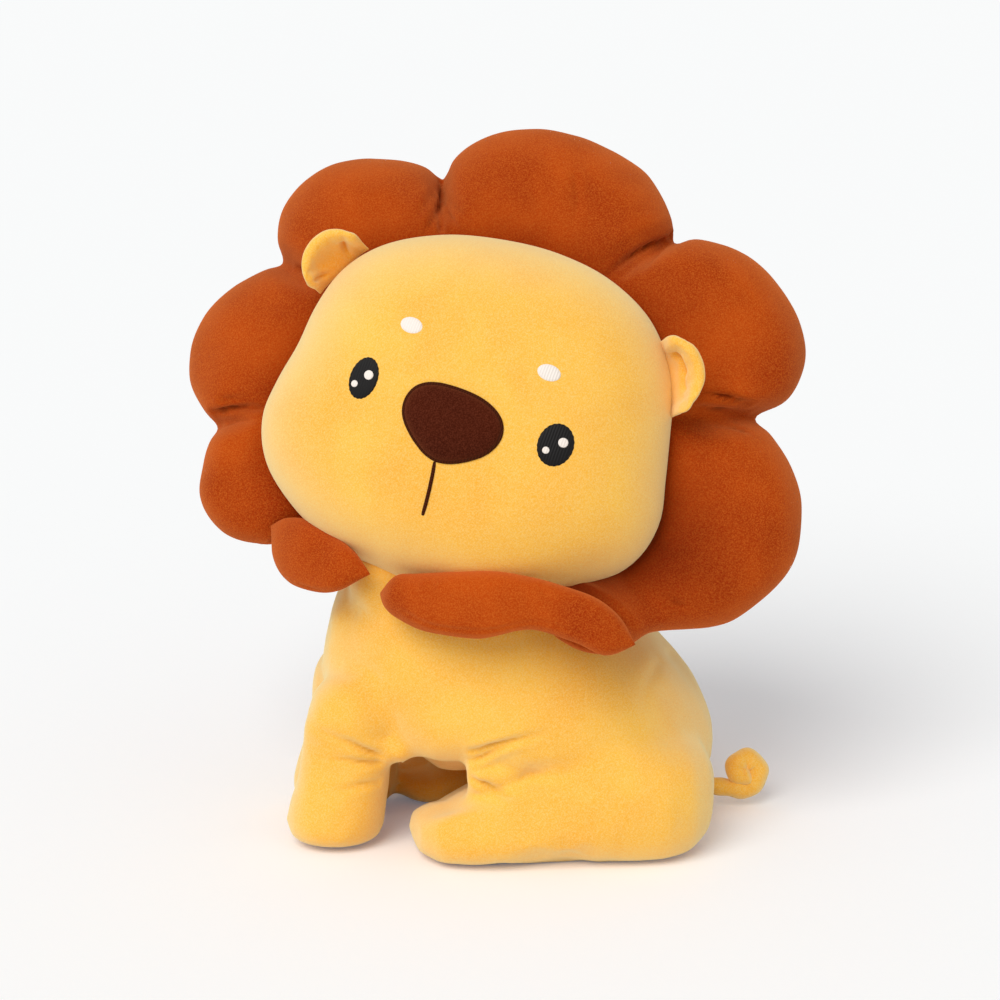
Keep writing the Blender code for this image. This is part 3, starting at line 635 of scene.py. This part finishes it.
def quad_ball(name, cuts):
    """A ball of even quads, to be shaped."""
    deselect()
    bpy.ops.mesh.primitive_cube_add(size=2)
    ball = bpy.context.object
    ball.name = name
    bpy.ops.object.mode_set(mode="EDIT")
    bpy.ops.mesh.subdivide(number_cuts=cuts)
    bpy.ops.object.mode_set(mode="OBJECT")
    for vertex in ball.data.vertices:
        vertex.co.normalize()
    return ball


def pole_ball(name, around, along):
    """A ball with a pole at each end, for pieces that are longer than wide."""
    deselect()
    bpy.ops.mesh.primitive_uv_sphere_add(segments=around, ring_count=along, radius=1)
    ball = bpy.context.object
    ball.name = name
    return ball


def face_outwards(piece):
    activate(piece)
    bpy.ops.object.mode_set(mode="EDIT")
    bpy.ops.mesh.select_all(action="SELECT")
    bpy.ops.mesh.normals_make_consistent(inside=False)
    bpy.ops.object.mode_set(mode="OBJECT")


for name, side, depth, material, slot, nodes in (
    ("face_panel", -1, FACE_DEPTH, yellow_velour, "yellow_velour", ["face_cover", "head_filling"]),
    ("head_back_panel", 1, HEAD_BACK_DEPTH, rust_velour, "rust_velour", ["head_back_cover"]),
):
    half = quad_ball(name, HEAD_CUTS)
    for vertex in half.data.vertices:
        unit = vertex.co.copy()
        spread = min(hypot(unit.x, unit.z), 1.0)
        angle = atan2(unit.x, unit.z)
        swell = max(1 - spread**PLUMP, 0.0) ** (1 / PLUMP)
        away = depth * swell
        drawn = SEAM_DRAW * exp(-away / SEAM_REACH)
        reach = (head_radius(angle) - drawn) * spread
        if unit.y * side < 0:
            away = -HALF_OVERLAP * swell
        else:
            place = Vector((reach * sin(angle), side, reach * cos(angle)))
            away += HEAD_WAVE * noise.noise(place * HEAD_WAVES_PER_METRE)
        vertex.co = (reach * sin(angle), side * away, reach * cos(angle))
    half.data.transform(head_frame)
    face_outwards(half)
    apply_modifier(half, "SUBSURF", {"levels": 1, "render_levels": 1})
    finish_cloth(half, material, "head", nodes)
    if side < 0:
        face_tree = surface_of(half)


# The mane is a ring of rust-coloured velour, stuffed and quilted into seven lobes. A front and a
# back sheet are sewn round the rim and turned, and a line of stitches through both, from the rim
# inwards, draws each lobe in beside its neighbour. Folds run from the stitches to the face.
MANE_RADIUS = 0.170
MANE_HALF_THICKNESS = 0.021
MANE_BACK_DEPTH = 0.036
MANE_TUCK_DEPTH = 0.008
MANE_START = -143.0
MANE_END = 140.0
CHANNEL_WIDTH = 0.0050
CHANNEL_ROOT_HOLD, CHANNEL_RIM_HOLD = 0.15, 0.72
MANE_ROUND_END = 0.035
MANE_AROUND, MANE_ALONG = 44, 250
MANE_WAVES = ((0.045, 0.0016), (0.018, 0.0007))
# Painted shade on the pile at the root, more so at the lower right, and along the stitches
ROOT_SHADE, ROOT_REACH = 0.42, 0.30
LOW_SHADE, LOW_REACH, LOW_FROM, LOW_FADE = 0.40, 0.25, 84, 22
CHANNEL_SHADE, CHANNEL_SHADE_DEGREES = 0.18, 1.2
# Held by stitches: the root, and the channels' outer part
ROOT_HELD, CHANNEL_HELD_DEGREES, CHANNEL_HELD_FROM = 0.12, 1.4, 0.45
MANE_PRESSURE = 3.0
MANE_FRAMES = 14
MANE_SWELL = 0.0035
MANE_NODES = [
    f"mane_lobe_{place}"
    for place in ("top", "upper_right", "right", "lower_right", "lower_left", "left", "upper_left")
]
# Each row: degrees from the crown, then the rim's share of the mane's radius.
MANE_RIM = (
    (-143.0, 0.790), (-138.0, 0.862), (-132.0, 0.922), (-125.0, 0.942), (-118.0, 0.908),
    (-112.7, 0.876), (-111.0, 0.862), (-108.6, 0.893), (-101.1, 0.972), (-91.2, 0.990),
    (-81.4, 0.940), (-73.9, 0.870), (-71.5, 0.846), (-69.0, 0.895), (-61.0, 0.972),
    (-50.5, 0.980), (-40.0, 0.908), (-32.0, 0.838), (-29.5, 0.788), (-26.0, 0.852),
    (-15.1, 0.935), (-0.8, 0.961), (13.6, 0.953), (24.5, 0.876), (28.0, 0.828),
    (30.6, 0.892), (38.6, 0.989), (49.2, 1.043), (59.9, 1.050), (68.0, 0.965),
    (70.5, 0.870), (73.6, 0.920), (83.2, 1.034), (96.0, 1.096), (108.8, 1.033),
    (118.4, 0.902), (122.0, 0.872), (130.0, 0.868), (140.0, 0.780),
)
# Each row: degrees from the crown, how far back root and rim lie, and the thickness, as shares.
MANE_DEPTHS = (
    (-139, 0.28, 0.45, 0.80), (-125, 0.28, 0.50, 0.95), (-111, 0.28, 0.62, 1.00),
    (-98, 0.28, 0.92, 1.00), (-85, 0.28, 1.00, 1.00), (58, 0.28, 1.00, 1.00),
    (75, 0.28, 0.82, 1.00), (90, 0.28, 0.62, 1.00), (108, 0.26, 0.55, 0.98),
    (116, 0.16, 0.34, 0.82), (123, -0.26, -0.20, 0.58), (131, -0.62, -0.74, 0.46),
    (140, -0.70, -0.90, 0.40),
)
# Each row: degrees where the stitches start at the rim, and how many degrees they bend inwards.
CHANNELS = ((-111.0, 5.0), (-71.5, 3.0), (-29.5, 2.0), (28.0, -5.0), (70.5, 3.0))
MANE_FOLDS = (
    (((441, 182), (440, 204), (441, 228), (438, 254)), 3.2, 2.4),
    (((442, 196), (450, 216), (464, 236)), 2.2, 2.5),
    (((443, 192), (460, 210), (482, 232)), 1.6, 2.6),
    (((439, 204), (431, 222), (422, 238)), 2.2, 2.5),
    (((436, 188), (424, 206), (404, 228)), 1.4, 2.6),
    (((573, 178), (576, 205), (572, 234)), 1.2, 3.6),
    (((671, 236), (650, 245), (626, 260), (602, 282), (576, 312)), 4.4, 2.4),
    (((664, 246), (650, 262), (638, 282)), 1.6, 2.8),
    (((768, 412), (748, 403), (724, 396), (700, 391), (664, 384)), 3.8, 2.4),
    (((764, 416), (744, 413), (722, 410), (704, 407), (672, 404)), 2.6, 2.4),
    (((748, 432), (728, 426), (706, 423)), 1.6, 2.6),
    (((282, 262), (298, 268), (318, 274)), 2.8, 2.5),
    (((214, 412), (234, 408), (256, 408), (280, 414)), 3.2, 2.6),
    (((228, 424), (242, 420), (260, 423)), 1.6, 2.6),
    (((222, 400), (238, 398), (256, 402)), 1.4, 2.6),
    (((268, 543), (280, 536), (294, 524)), 2.8, 2.6),
    (((690, 554), (676, 558), (662, 552)), 1.6, 2.8),
    (((684, 606), (670, 600), (658, 588)), 1.8, 2.8),
    (((572, 588), (590, 595), (608, 606), (624, 620), (638, 636)), 3.4, 3.2),
)


def mane_place(angle, share, through):
    """A place in the mane: an angle, a share of the way out to the rim, and one of the way back."""
    degrees = angle * 180 / pi
    (rim_share,) = smooth_row(MANE_RIM, degrees)
    root_back, rim_back, thickness = smooth_row(MANE_DEPTHS, degrees)
    root = head_radius(angle) - MANE_TUCK_DEPTH
    reach = root + (MANE_RADIUS * rim_share - root) * share
    half = MANE_HALF_THICKNESS * thickness
    for start, bend in CHANNELS:
        gap = reach * radians(degrees - start - bend * (1 - share))
        hold = CHANNEL_ROOT_HOLD + CHANNEL_RIM_HOLD * share**1.5
        half *= 1 - hold * exp(-((gap / (CHANNEL_WIDTH * (1.9 - 0.9 * share))) ** 2))
    middle = MANE_BACK_DEPTH * (root_back + (rim_back - root_back) * share)
    return Vector((reach * sin(angle), middle + half * through, reach * cos(angle)))


mane = pole_ball("mane_cover", MANE_AROUND, MANE_ALONG)
pinned = []
shade_marks = painted_shade_marks(mane)
for vertex in mane.data.vertices:
    unit = vertex.co.copy()
    along = 1 - atan2(hypot(unit.x, unit.y), unit.z) / pi
    ring = hypot(unit.x, unit.y)
    turn = atan2(unit.y, unit.x)
    angle = radians(MANE_START + (MANE_END - MANE_START) * along)
    from_end = min(along, 1 - along, MANE_ROUND_END)
    closed = min(1.0, sqrt(max(1 - (1 - from_end / MANE_ROUND_END) ** 2, 0.0)))
    outward = copysign(abs(cos(turn)) ** 0.72, cos(turn)) if ring > 0.00001 else 0.0
    through = copysign(abs(sin(turn)) ** 0.85, sin(turn)) if ring > 0.00001 else 0.0
    share = 0.5 + 0.5 * outward * closed
    vertex.co = mane_place(angle, share, through * closed)
    degrees = angle * 180 / pi
    near = min(abs(degrees - start - bend * (1 - share)) for start, bend in CHANNELS)
    low_right = min(max((degrees - LOW_FROM) / LOW_FADE, 0.0), 1.0)
    root_shade = ROOT_SHADE + LOW_SHADE * low_right
    root_reach = ROOT_REACH + LOW_REACH * low_right
    # Painted shade at the root, the lower right and along the stitches
    shade_marks.data[vertex.index].value = (
        root_shade * exp(-((share / root_reach) ** 2))
        + CHANNEL_SHADE * exp(-((near / CHANNEL_SHADE_DEGREES) ** 2))
    )
    stitched = near < CHANNEL_HELD_DEGREES and share > CHANNEL_HELD_FROM
    if share < ROOT_HELD or stitched or closed < 1:
        pinned.append(vertex.index)
mane.data.transform(head_frame)
face_outwards(mane)
stuff(mane, MANE_PRESSURE, MANE_FRAMES, MANE_SWELL, pinned)
apply_modifier(mane, "SUBSURF", {"levels": 1, "render_levels": 1})
unevenness(mane, MANE_WAVES)
# The folds are pressed in and get painted shade at their bottoms
crease(mane, MANE_FOLDS, shade=1.0)
finish_cloth(mane, rust_velour, "head", MANE_NODES)


# Two more lobes hang free in front of the chest from the seam under the chin. Each is long and
# pointed at its ends, and the seam round it shows as a fine line along its lower side.
CHIN_HALF_HEIGHT = 0.0175
CHIN_HALF_THICKNESS = 0.011
CHIN_WAVES = ((0.025, 0.0009),)
# Painted shade at the bottoms of the lobes' folds and along the seam line
CHIN_FOLD_SHADE = 0.5
# Each lobe: its name, then rows of a share of its length, a place as shares of the head's half
# width across and up and of the face's depth, and shares of its height and thickness, then folds
CHIN_LOBES = (
    ("chin_lobe_right", (
        (0.00, -0.087, -0.924, -0.450, 0.00, 0.00),
        (0.06, -0.040, -0.900, -0.500, 0.48, 0.62),
        (0.13, 0.032, -0.894, -0.540, 0.70, 0.80),
        (0.26, 0.209, -0.864, -0.620, 0.96, 1.00),
        (0.44, 0.430, -0.800, -0.660, 1.04, 1.00),
        (0.62, 0.646, -0.727, -0.680, 0.76, 0.85),
        (0.76, 0.846, -0.718, -0.700, 0.74, 0.80),
        (0.90, 1.002, -0.743, -0.700, 0.62, 0.70),
        (1.00, 1.112, -0.746, -0.700, 0.00, 0.00),
    ), (
        (((404, 612), (440, 627), (490, 630), (540, 622), (580, 634), (612, 644)), 0.8, 1.6),
        (((538, 588), (548, 600), (552, 612)), 0.8, 3.0),
        (((430, 584), (436, 594), (446, 602)), 0.6, 3.0),
    )),
    ("chin_lobe_left", (
        (0.00, -0.738, -0.812, -0.040, 0.00, 0.00),
        (0.14, -0.668, -0.846, -0.100, 0.62, 0.74),
        (0.36, -0.540, -0.874, -0.220, 0.98, 1.00),
        (0.60, -0.400, -0.885, -0.340, 0.92, 0.90),
        (0.82, -0.265, -0.880, -0.460, 0.62, 0.65),
        (1.00, -0.150, -0.856, -0.530, 0.00, 0.00),
    ), (
        (((300, 585), (318, 590), (340, 588), (362, 580)), 0.8, 1.6),
    )),
)

for name, table, folds in CHIN_LOBES:
    lobe = pole_ball(f"{name}_cloth", 40, 60)
    for vertex in lobe.data.vertices:
        unit = vertex.co.copy()
        along = 1 - atan2(hypot(unit.x, unit.y), unit.z) / pi
        across, up, depth, tall, thick = smooth_row(table, along)
        turn = atan2(unit.y, unit.x)
        ring = 0.0 if hypot(unit.x, unit.y) < 0.00001 else 1.0
        forward = ring * copysign(abs(cos(turn)) ** 0.85, cos(turn))
        upward = ring * copysign(abs(sin(turn)) ** 0.9, sin(turn))
        vertex.co = (
            HEAD_HALF_WIDTH * across,
            FACE_DEPTH * depth + CHIN_HALF_THICKNESS * max(thick, 0.0) * forward,
            HEAD_HALF_WIDTH * up + CHIN_HALF_HEIGHT * max(tall, 0.0) * upward,
        )
    lobe.data.transform(head_frame)
    face_outwards(lobe)
    apply_modifier(lobe, "SUBSURF", {"levels": 1, "render_levels": 1})
    unevenness(lobe, CHIN_WAVES)
    crease(lobe, folds, shade=CHIN_FOLD_SHADE)
    finish_cloth(lobe, rust_velour, name, [name])


# The ears are small cushions of yellow velour, folded into a cup as they are sewn into the face's
# seam, so that the rim is thick and round and the dish behind it is thin.
EAR_HALF_THICKNESS = 0.0062
EAR_LEAN = radians(48.0)
EAR_ROOT_BACK = 0.007
EAR_TIP_SHARE = 0.10
EAR_ROOT_CUP_SHARE = 0.2
EAR_BACK = 0.60
EAR_RIM = 0.60
EAR_ROUND = 0.85
# Each ear: the side, its angle from the crown, its height, how far and how tightly it curls, how
# far it is drawn to the face, how full its dish is, its rolled parts and its folds
EARS = (
    ("left_ear", -1, 61.5, 0.0270, 72.0, 0.0188, 0.0, 0.10, (
        (((350, 237), (359, 246), (366, 255)), -1.4, 5.0),
        (((340, 232), (324, 236), (313, 247), (308, 262), (310, 276)), -1.2, 5.0),
        (((312, 280), (318, 288), (330, 286)), -1.8, 5.0),
    ), (
        (((343, 243), (346, 250), (351, 257), (358, 263)), 2.6, 2.4),
        (((316, 280), (323, 276), (330, 274), (338, 276)), 2.2, 2.2),
    )),
    ("right_ear", 1, 61.5, 0.0300, 66.0, 0.0222, 0.0032, 0.10, (
        (((676, 340), (669, 348), (670, 358)), -2.2, 5.0),
        (((684, 344), (694, 356), (699, 372), (698, 388)), -2.4, 5.0),
        (((700, 398), (694, 408), (686, 410)), -3.4, 6.0),
    ), (
        (((676, 354), (682, 361), (684, 374), (684, 388), (681, 402)), 2.2, 3.0),
        (((684, 372), (689, 371)), 1.0, 2.6),
        (((684, 388), (689, 390)), 1.0, 2.6),
    )),
)
# Where the lower ends of the ears hang fuller, drawn along as on the body
EAR_GRABS = (((700, 400), (5, 4), 9), ((706, 376), (3, 0), 12), ((684, 408), (3, 1), 7))
# Painted shade in the sunk dish of each ear's cup, and at the bottoms of its folds
EAR_SHADE = 0.25
EAR_FOLD_SHADE = 0.8
EAR_CUTS = 31
RIM_WAVE, RIM_WAVES = 0.0004, 17


def square_from_disc(x, y):
    """A point of the unit disc, moved to the matching point of the unit square."""
    twice = 2 * sqrt(2)
    base = x * x - y * y
    across = sqrt(max(2 + base + twice * x, 0)) - sqrt(max(2 + base - twice * x, 0))
    upward = sqrt(max(2 - base + twice * y, 0)) - sqrt(max(2 - base - twice * y, 0))
    return across / 2, upward / 2


for name, side, degrees, height, curl_degrees, curl_radius, drawn, dish, swells, folds in EARS:
    # The unit ball becomes a cushion, flat in x and y, that is then curled round the ear's height
    ear = quad_ball(f"{name}_cloth", EAR_CUTS)
    shade_marks = painted_shade_marks(ear)
    for vertex in ear.data.vertices:
        unit = vertex.co.copy()
        square = square_from_disc(unit.x, unit.y)
        rounding = EAR_ROUND * min(max(0.5 + 0.8 * unit.y, 0.0), 1.0)
        across = square[0] + (unit.x - square[0]) * rounding
        upward = square[1] + (unit.y - square[1]) * rounding
        curl = radians(curl_degrees) * across
        grow = (upward + 1) / 2
        narrow = 1 - EAR_TIP_SHARE * grow**3
        cup = min(EAR_ROOT_CUP_SHARE + grow, 1.0)
        inside = min(1 - abs(across), 1 - grow)
        sunk = min(max(inside / EAR_RIM, 0.0), 1.0)
        sunk = sunk * sunk * (3 - 2 * sunk) * grow**0.5
        front = 1 - (1 - dish) * sunk
        pad = EAR_HALF_THICKNESS * unit.z * (front if unit.z > 0 else EAR_BACK)
        pad += RIM_WAVE * sin(across * RIM_WAVES + side) * (1 - inside) * abs(unit.z)
        # Painted shade in the sunk dish, on the front only
        shade_marks.data[vertex.index].value = EAR_SHADE * sunk if unit.z > 0 else 0.0
        radius = curl_radius - pad * cup
        vertex.co = (
            radius * sin(curl) * narrow,
            (radius * cos(curl) - curl_radius) * cup - pad * (1 - cup),
            height * grow,
        )
    angle = side * radians(degrees)
    reach = head_radius(angle) - drawn
    root = Vector((reach * sin(angle), -EAR_ROOT_BACK, reach * cos(angle)))
    turn = Matrix.Rotation(angle, 4, "Y") @ Matrix.Rotation(EAR_LEAN, 4, "X")
    ear.data.transform(head_frame @ Matrix.Translation(root) @ turn)
    face_outwards(ear)
    apply_modifier(ear, "SUBSURF", {"levels": 1, "render_levels": 1})
    crease(ear, swells, shoulder=0)
    crease(ear, folds, shade=EAR_FOLD_SHADE)
    grab(ear, EAR_GRABS)
    apply_modifier(ear, "SMOOTH", {"factor": 0.5, "iterations": 2})
    finish_cloth(ear, yellow_velour, name, [name])


# The nose is a rounded triangle of brown plush, lightly padded and appliqued on the face, with a
# satin-stitched border over its raw edge. The mouth is one line of the same stitch below it.
FEATURE_SHIFT = 0.0016
NOSE_HALF_WIDTH = 0.0240
NOSE_HALF_HEIGHT = 0.0190
NOSE_DROP = 0.0105
NOSE_PAD = 0.0056
# Each row: degrees from the crown, then the outline's share of the half width and height
NOSE_OUTLINE = (
    (-180, 1.030), (-165, 0.990), (-150, 0.932), (-135, 0.911), (-120, 0.924), (-90, 1.021),
    (-60, 1.090), (-45, 1.068), (-30, 1.000), (-15, 0.936), (0, 0.913), (15, 0.930),
    (30, 0.982), (60, 1.105), (75, 1.122), (90, 1.096), (120, 1.008), (135, 0.974),
    (150, 0.976), (165, 1.004), (180, 1.030),
)
BORDER_HALF_WIDTH = 0.0013
BORDER_HEIGHT = 0.0009
MOUTH_LENGTH = 0.0280
MOUTH_HALF_WIDTH = 0.0010
MOUTH_SLANT = 0.0016
MOUTH_BEND = 0.0030
SUNK = 0.0008
STITCH_PITCH = 0.0014
STITCH_BUMP = 0.0003
BORDER_STEPS = 144
TUBE_SHARE = 0.25
# A band wave of scale 1 is this long
BAND_LENGTH = 0.314
BROWN_PLUSH = "#451607"
BROWN_PLUSH_DEEP = "#320D04"
BROWN_PLUSH_PALE = "#6B3220"
# Painted sheen colour towards the outline
BROWN_SHEEN = "#8A4C30"
BROWN_THREAD = "#4A1F0B"
head_inverse = head_frame.inverted()
into_face = head_frame.to_3x3() @ Vector((0, 1, 0))
brown_velour = velour(
    "brown_short_pile_velour",
    BROWN_PLUSH, BROWN_PLUSH_DEEP, BROWN_PLUSH_PALE, BROWN_SHEEN, BROWN_PLUSH_DEEP,
    0.45, 0.16, 0.55, 0.03,
)


def on_face(x, z):
    """The place on the face at a point of the head's own frame, and the face's normal there."""
    start = head_frame @ Vector((x, -0.2, z))
    place, normal, _, _ = face_tree.ray_cast(start, into_face)
    return head_inverse @ place, (head_inverse.to_3x3() @ normal).normalized()


def satin_stitch(name, colour, shine, along, shadow=0.55):
    """Rayon embroidery thread in close satin stitch: fine parallel threads with a soft shine, and
    painted shade in the grooves between them. The pitch is coarser than the real 0.4 mm, so that it
    shows."""
    material, tree, shader = new_material(name)
    place = add_node(tree, "ShaderNodeTexCoord").outputs["Object"]
    # Painted shade: the grooves between the threads are darker, at the share shadow of the thread's
    # colour
    low = tuple(shadow * part for part in linear(colour)[:3]) + (1,)
    turned = add_node(
        tree, "ShaderNodeMapping", {"vector_type": "TEXTURE"},
        {"Vector": place, "Location": HEAD_CENTRE, "Rotation": head_frame.to_euler()},
    )
    threads = add_node(
        tree, "ShaderNodeTexWave", {"wave_type": "BANDS", "bands_direction": along},
        {
            "Vector": turned.outputs[0], "Scale": BAND_LENGTH / STITCH_PITCH,
            "Distortion": 0.6, "Detail": 1,
        },
    )
    depth = add_node(
        tree, "ShaderNodeMix", {"data_type": "RGBA"},
        {0: threads.outputs["Fac"], 6: low, 7: linear(colour)},
    )
    tree.links.new(depth.outputs[2], shader.inputs["Base Color"])
    shader.inputs["Roughness"].default_value = 0.55
    shader.inputs["Specular IOR Level"].default_value = shine
    bump = add_node(
        tree, "ShaderNodeBump", None,
        {"Strength": 0.6, "Distance": STITCH_BUMP, "Height": threads.outputs["Fac"]},
    )
    tree.links.new(bump.outputs[0], shader.inputs["Normal"])
    return material


def patch(name, cuts, outline, height, crown, material, node, lift=0.0):
    """A raised patch on the face inside an outline, crowned in front and sunk a little behind."""
    piece = quad_ball(name, cuts)
    for vertex in piece.data.vertices:
        unit = vertex.co.copy()
        spread = min(hypot(unit.x, unit.z), 1.0)
        x, z = outline(atan2(unit.x, unit.z), spread)
        place, normal = on_face(x, z)
        if unit.y < 0:
            rise = lift + height * max(1 - spread**crown, 0.0) ** 0.5
        else:
            rise = -SUNK * abs(unit.y)
        vertex.co = place + normal * rise
    piece.data.transform(head_frame)
    face_outwards(piece)
    finish_cloth(piece, material, "head", [node])
    return piece


def nose_outline(angle, spread):
    degrees = (angle * 180 / pi + 180) % 360 - 180
    (reach,) = smooth_row(NOSE_OUTLINE, degrees)
    return (
        FEATURE_SHIFT + NOSE_HALF_WIDTH * spread * reach * sin(angle),
        NOSE_HALF_HEIGHT * spread * reach * cos(angle) - NOSE_DROP,
    )


brown_thread = satin_stitch("brown_satin_stitch", BROWN_THREAD, 0.04, "X")
patch("nose_plush", 23, nose_outline, NOSE_PAD, 2.6, brown_velour, "nose_pad")

deselect()
bpy.ops.mesh.primitive_torus_add(
    major_segments=BORDER_STEPS, minor_segments=12, major_radius=1, minor_radius=TUBE_SHARE,
)
border = bpy.context.object
border.name = "nose_border"
for vertex in border.data.vertices:
    angle = atan2(vertex.co.x, vertex.co.y)
    offset = (hypot(vertex.co.x, vertex.co.y) - 1) / TUBE_SHARE
    x, z = nose_outline(angle, 1.0)
    ahead, ahead_z = nose_outline(angle + 0.01, 1.0)
    run = Vector((ahead - x, ahead_z - z)).normalized()
    x += -run.y * offset * BORDER_HALF_WIDTH
    z += run.x * offset * BORDER_HALF_WIDTH
    place, normal = on_face(x, z)
    vertex.co = place + normal * (BORDER_HEIGHT * (vertex.co.z / TUBE_SHARE + 0.35))
border.data.transform(head_frame)
face_outwards(border)
finish_cloth(border, brown_thread, "head", ["nose_edge"])


def mouth_outline(angle, spread):
    top = -NOSE_DROP - NOSE_HALF_HEIGHT * NOSE_OUTLINE[0][1] - BORDER_HALF_WIDTH
    z = copysign(abs(cos(angle)) ** 0.35, cos(angle)) * spread * MOUTH_LENGTH / 2
    x = copysign(abs(sin(angle)) ** 0.35, sin(angle)) * spread * MOUTH_HALF_WIDTH
    share = z / MOUTH_LENGTH
    aside = MOUTH_SLANT * (0.5 - share) - MOUTH_BEND * share * share
    return FEATURE_SHIFT + x + aside, top - MOUTH_LENGTH / 2 + z


mouth_thread = satin_stitch("brown_satin_stitch_upright", BROWN_THREAD, 0.04, "Z")
patch("mouth_line", 15, mouth_outline, 0.0010, 2.0, mouth_thread, "mouth_stitch")


# The eyes are ovals of black satin stitch, laid upright, each with two white dots stitched over
# it, and the brows are two more small white ovals.
EYE_SHIFT = 0.0032
EYE_SPREAD = 0.0525
EYE_DROP = 0.0030
EYE_HALF_WIDTHS = (0.0078, 0.0090)
EYE_HALF_HEIGHT = 0.0111
STITCH_HEIGHT = 0.0011
GLINT_HEIGHT = 0.0006
BROW_HEIGHT = 0.0009
# The stitches' ends make the outline a little ragged
STITCH_RAGGED, STITCH_ENDS = 0.012, 23
BROW_SHIFT = 0.0028
BROW_SPREAD = 0.0375
BROW_RISE = 0.0305
BROW_HALF_LENGTH = 0.0060
BROW_HALF_WIDTH = 0.0042
BLACK_THREAD = "#0F0C0B"
WHITE_THREAD = "#F7ECE2"
black_thread = satin_stitch("black_satin_stitch", BLACK_THREAD, 0.18, "X")
white_thread = satin_stitch("white_satin_stitch", WHITE_THREAD, 0.30, "X", 0.93)


def oval(middle_x, middle_z, half_width, half_height):
    def outline(angle, spread):
        ragged = 1 + STITCH_RAGGED * sin(angle * STITCH_ENDS) * spread
        return (
            middle_x + half_width * spread * ragged * sin(angle),
            middle_z + half_height * spread * ragged * cos(angle),
        )
    return outline


for side, name, half_width in ((-1, "left", EYE_HALF_WIDTHS[0]), (1, "right", EYE_HALF_WIDTHS[1])):
    x = EYE_SHIFT + side * EYE_SPREAD
    z = -EYE_DROP
    eye = oval(x, z, half_width, EYE_HALF_HEIGHT)
    patch(
        f"{name}_eye_stitch", 23, eye, STITCH_HEIGHT, 3.0, black_thread,
        f"{name}_eye",
    )
    for dot, radius, across, up in (
        ("big_glint", 0.0025, half_width / 3, EYE_HALF_HEIGHT / 5),
        ("small_glint", 0.0018, -half_width / 2.4, -EYE_HALF_HEIGHT / 2.6),
    ):
        spot = oval(x + across, z + up, radius, radius)
        patch(
            f"{name}_{dot}_stitch", 9, spot, GLINT_HEIGHT, 3.0, white_thread,
            f"{name}_eye_{dot}", lift=STITCH_HEIGHT,
        )
    brow = oval(BROW_SHIFT + side * BROW_SPREAD, BROW_RISE, BROW_HALF_LENGTH, BROW_HALF_WIDTH)
    patch(
        f"{name}_brow_stitch", 13, brow, BROW_HEIGHT, 3.0, white_thread,
        f"{name}_brow",
    )


# The tail is a thin tube of yellow velour, sewn into the rump and tied over itself in a small
# knot, with a nub of its closed end at the side.
TAIL_RADIUS = 0.0050
TAIL_LENGTH = 0.0312
TAIL_LUMPS = 0.05
TAIL_AROUND, TAIL_ALONG = 24, 120
# Points of its middle line from the rump on, as shares of its length
TAIL_PATH = (
    (-0.24, 0.02, 0.04), (0.00, 0.00, 0.00), (0.20, -0.02, -0.03), (0.44, -0.05, -0.07),
    (0.70, -0.08, -0.11), (0.94, -0.10, -0.11), (1.11, -0.10, 0.01), (1.16, -0.08, 0.18),
    (1.10, -0.05, 0.34), (0.95, -0.03, 0.40), (0.81, -0.04, 0.34), (0.79, -0.07, 0.21),
    (0.91, -0.11, 0.14), (1.04, -0.14, 0.18),
)
low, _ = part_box("tail")
tail_rows = [(index, *point) for index, point in enumerate(TAIL_PATH)]
last = len(TAIL_PATH) - 1
tail_root = Vector((low[0], -0.010, 0.0135))

tail = pole_ball("tail_cloth", TAIL_AROUND, TAIL_ALONG)
for vertex in tail.data.vertices:
    unit = vertex.co.copy()
    place = (1 - atan2(hypot(unit.x, unit.y), unit.z) / pi) * last
    here = Vector(smooth_row(tail_rows, place))
    ahead = Vector(smooth_row(tail_rows, min(place + 0.05, last)))
    behind = Vector(smooth_row(tail_rows, max(place - 0.05, 0)))
    direction = (ahead - behind).normalized()
    aside = direction.cross(Vector((0, 1, 0))).normalized()
    other = direction.cross(aside)
    ring = max(hypot(unit.x, unit.y), 0.00001)
    end = min(place, last - place) * TAIL_LENGTH / 4
    radius = TAIL_RADIUS * sqrt(max(1 - (1 - min(end / TAIL_RADIUS, 1)) ** 2, 0))
    turn = atan2(unit.y, unit.x)
    radius *= 0.92 + 0.36 * min(max((place - 2.6) / 3.0, 0.0), 1.0)
    lumps = sin(place * 4.5 + 1.5 * sin(turn)) + sin(place * 3 + turn * 2)
    radius *= 1.0 + TAIL_LUMPS * lumps
    around = (aside * unit.x + other * unit.y) * (radius / ring)
    vertex.co = tail_root + here * TAIL_LENGTH + around
face_outwards(tail)
apply_modifier(tail, "SUBSURF", {"levels": 1, "render_levels": 1})
finish_cloth(tail, yellow_velour, "tail", ["tail"])
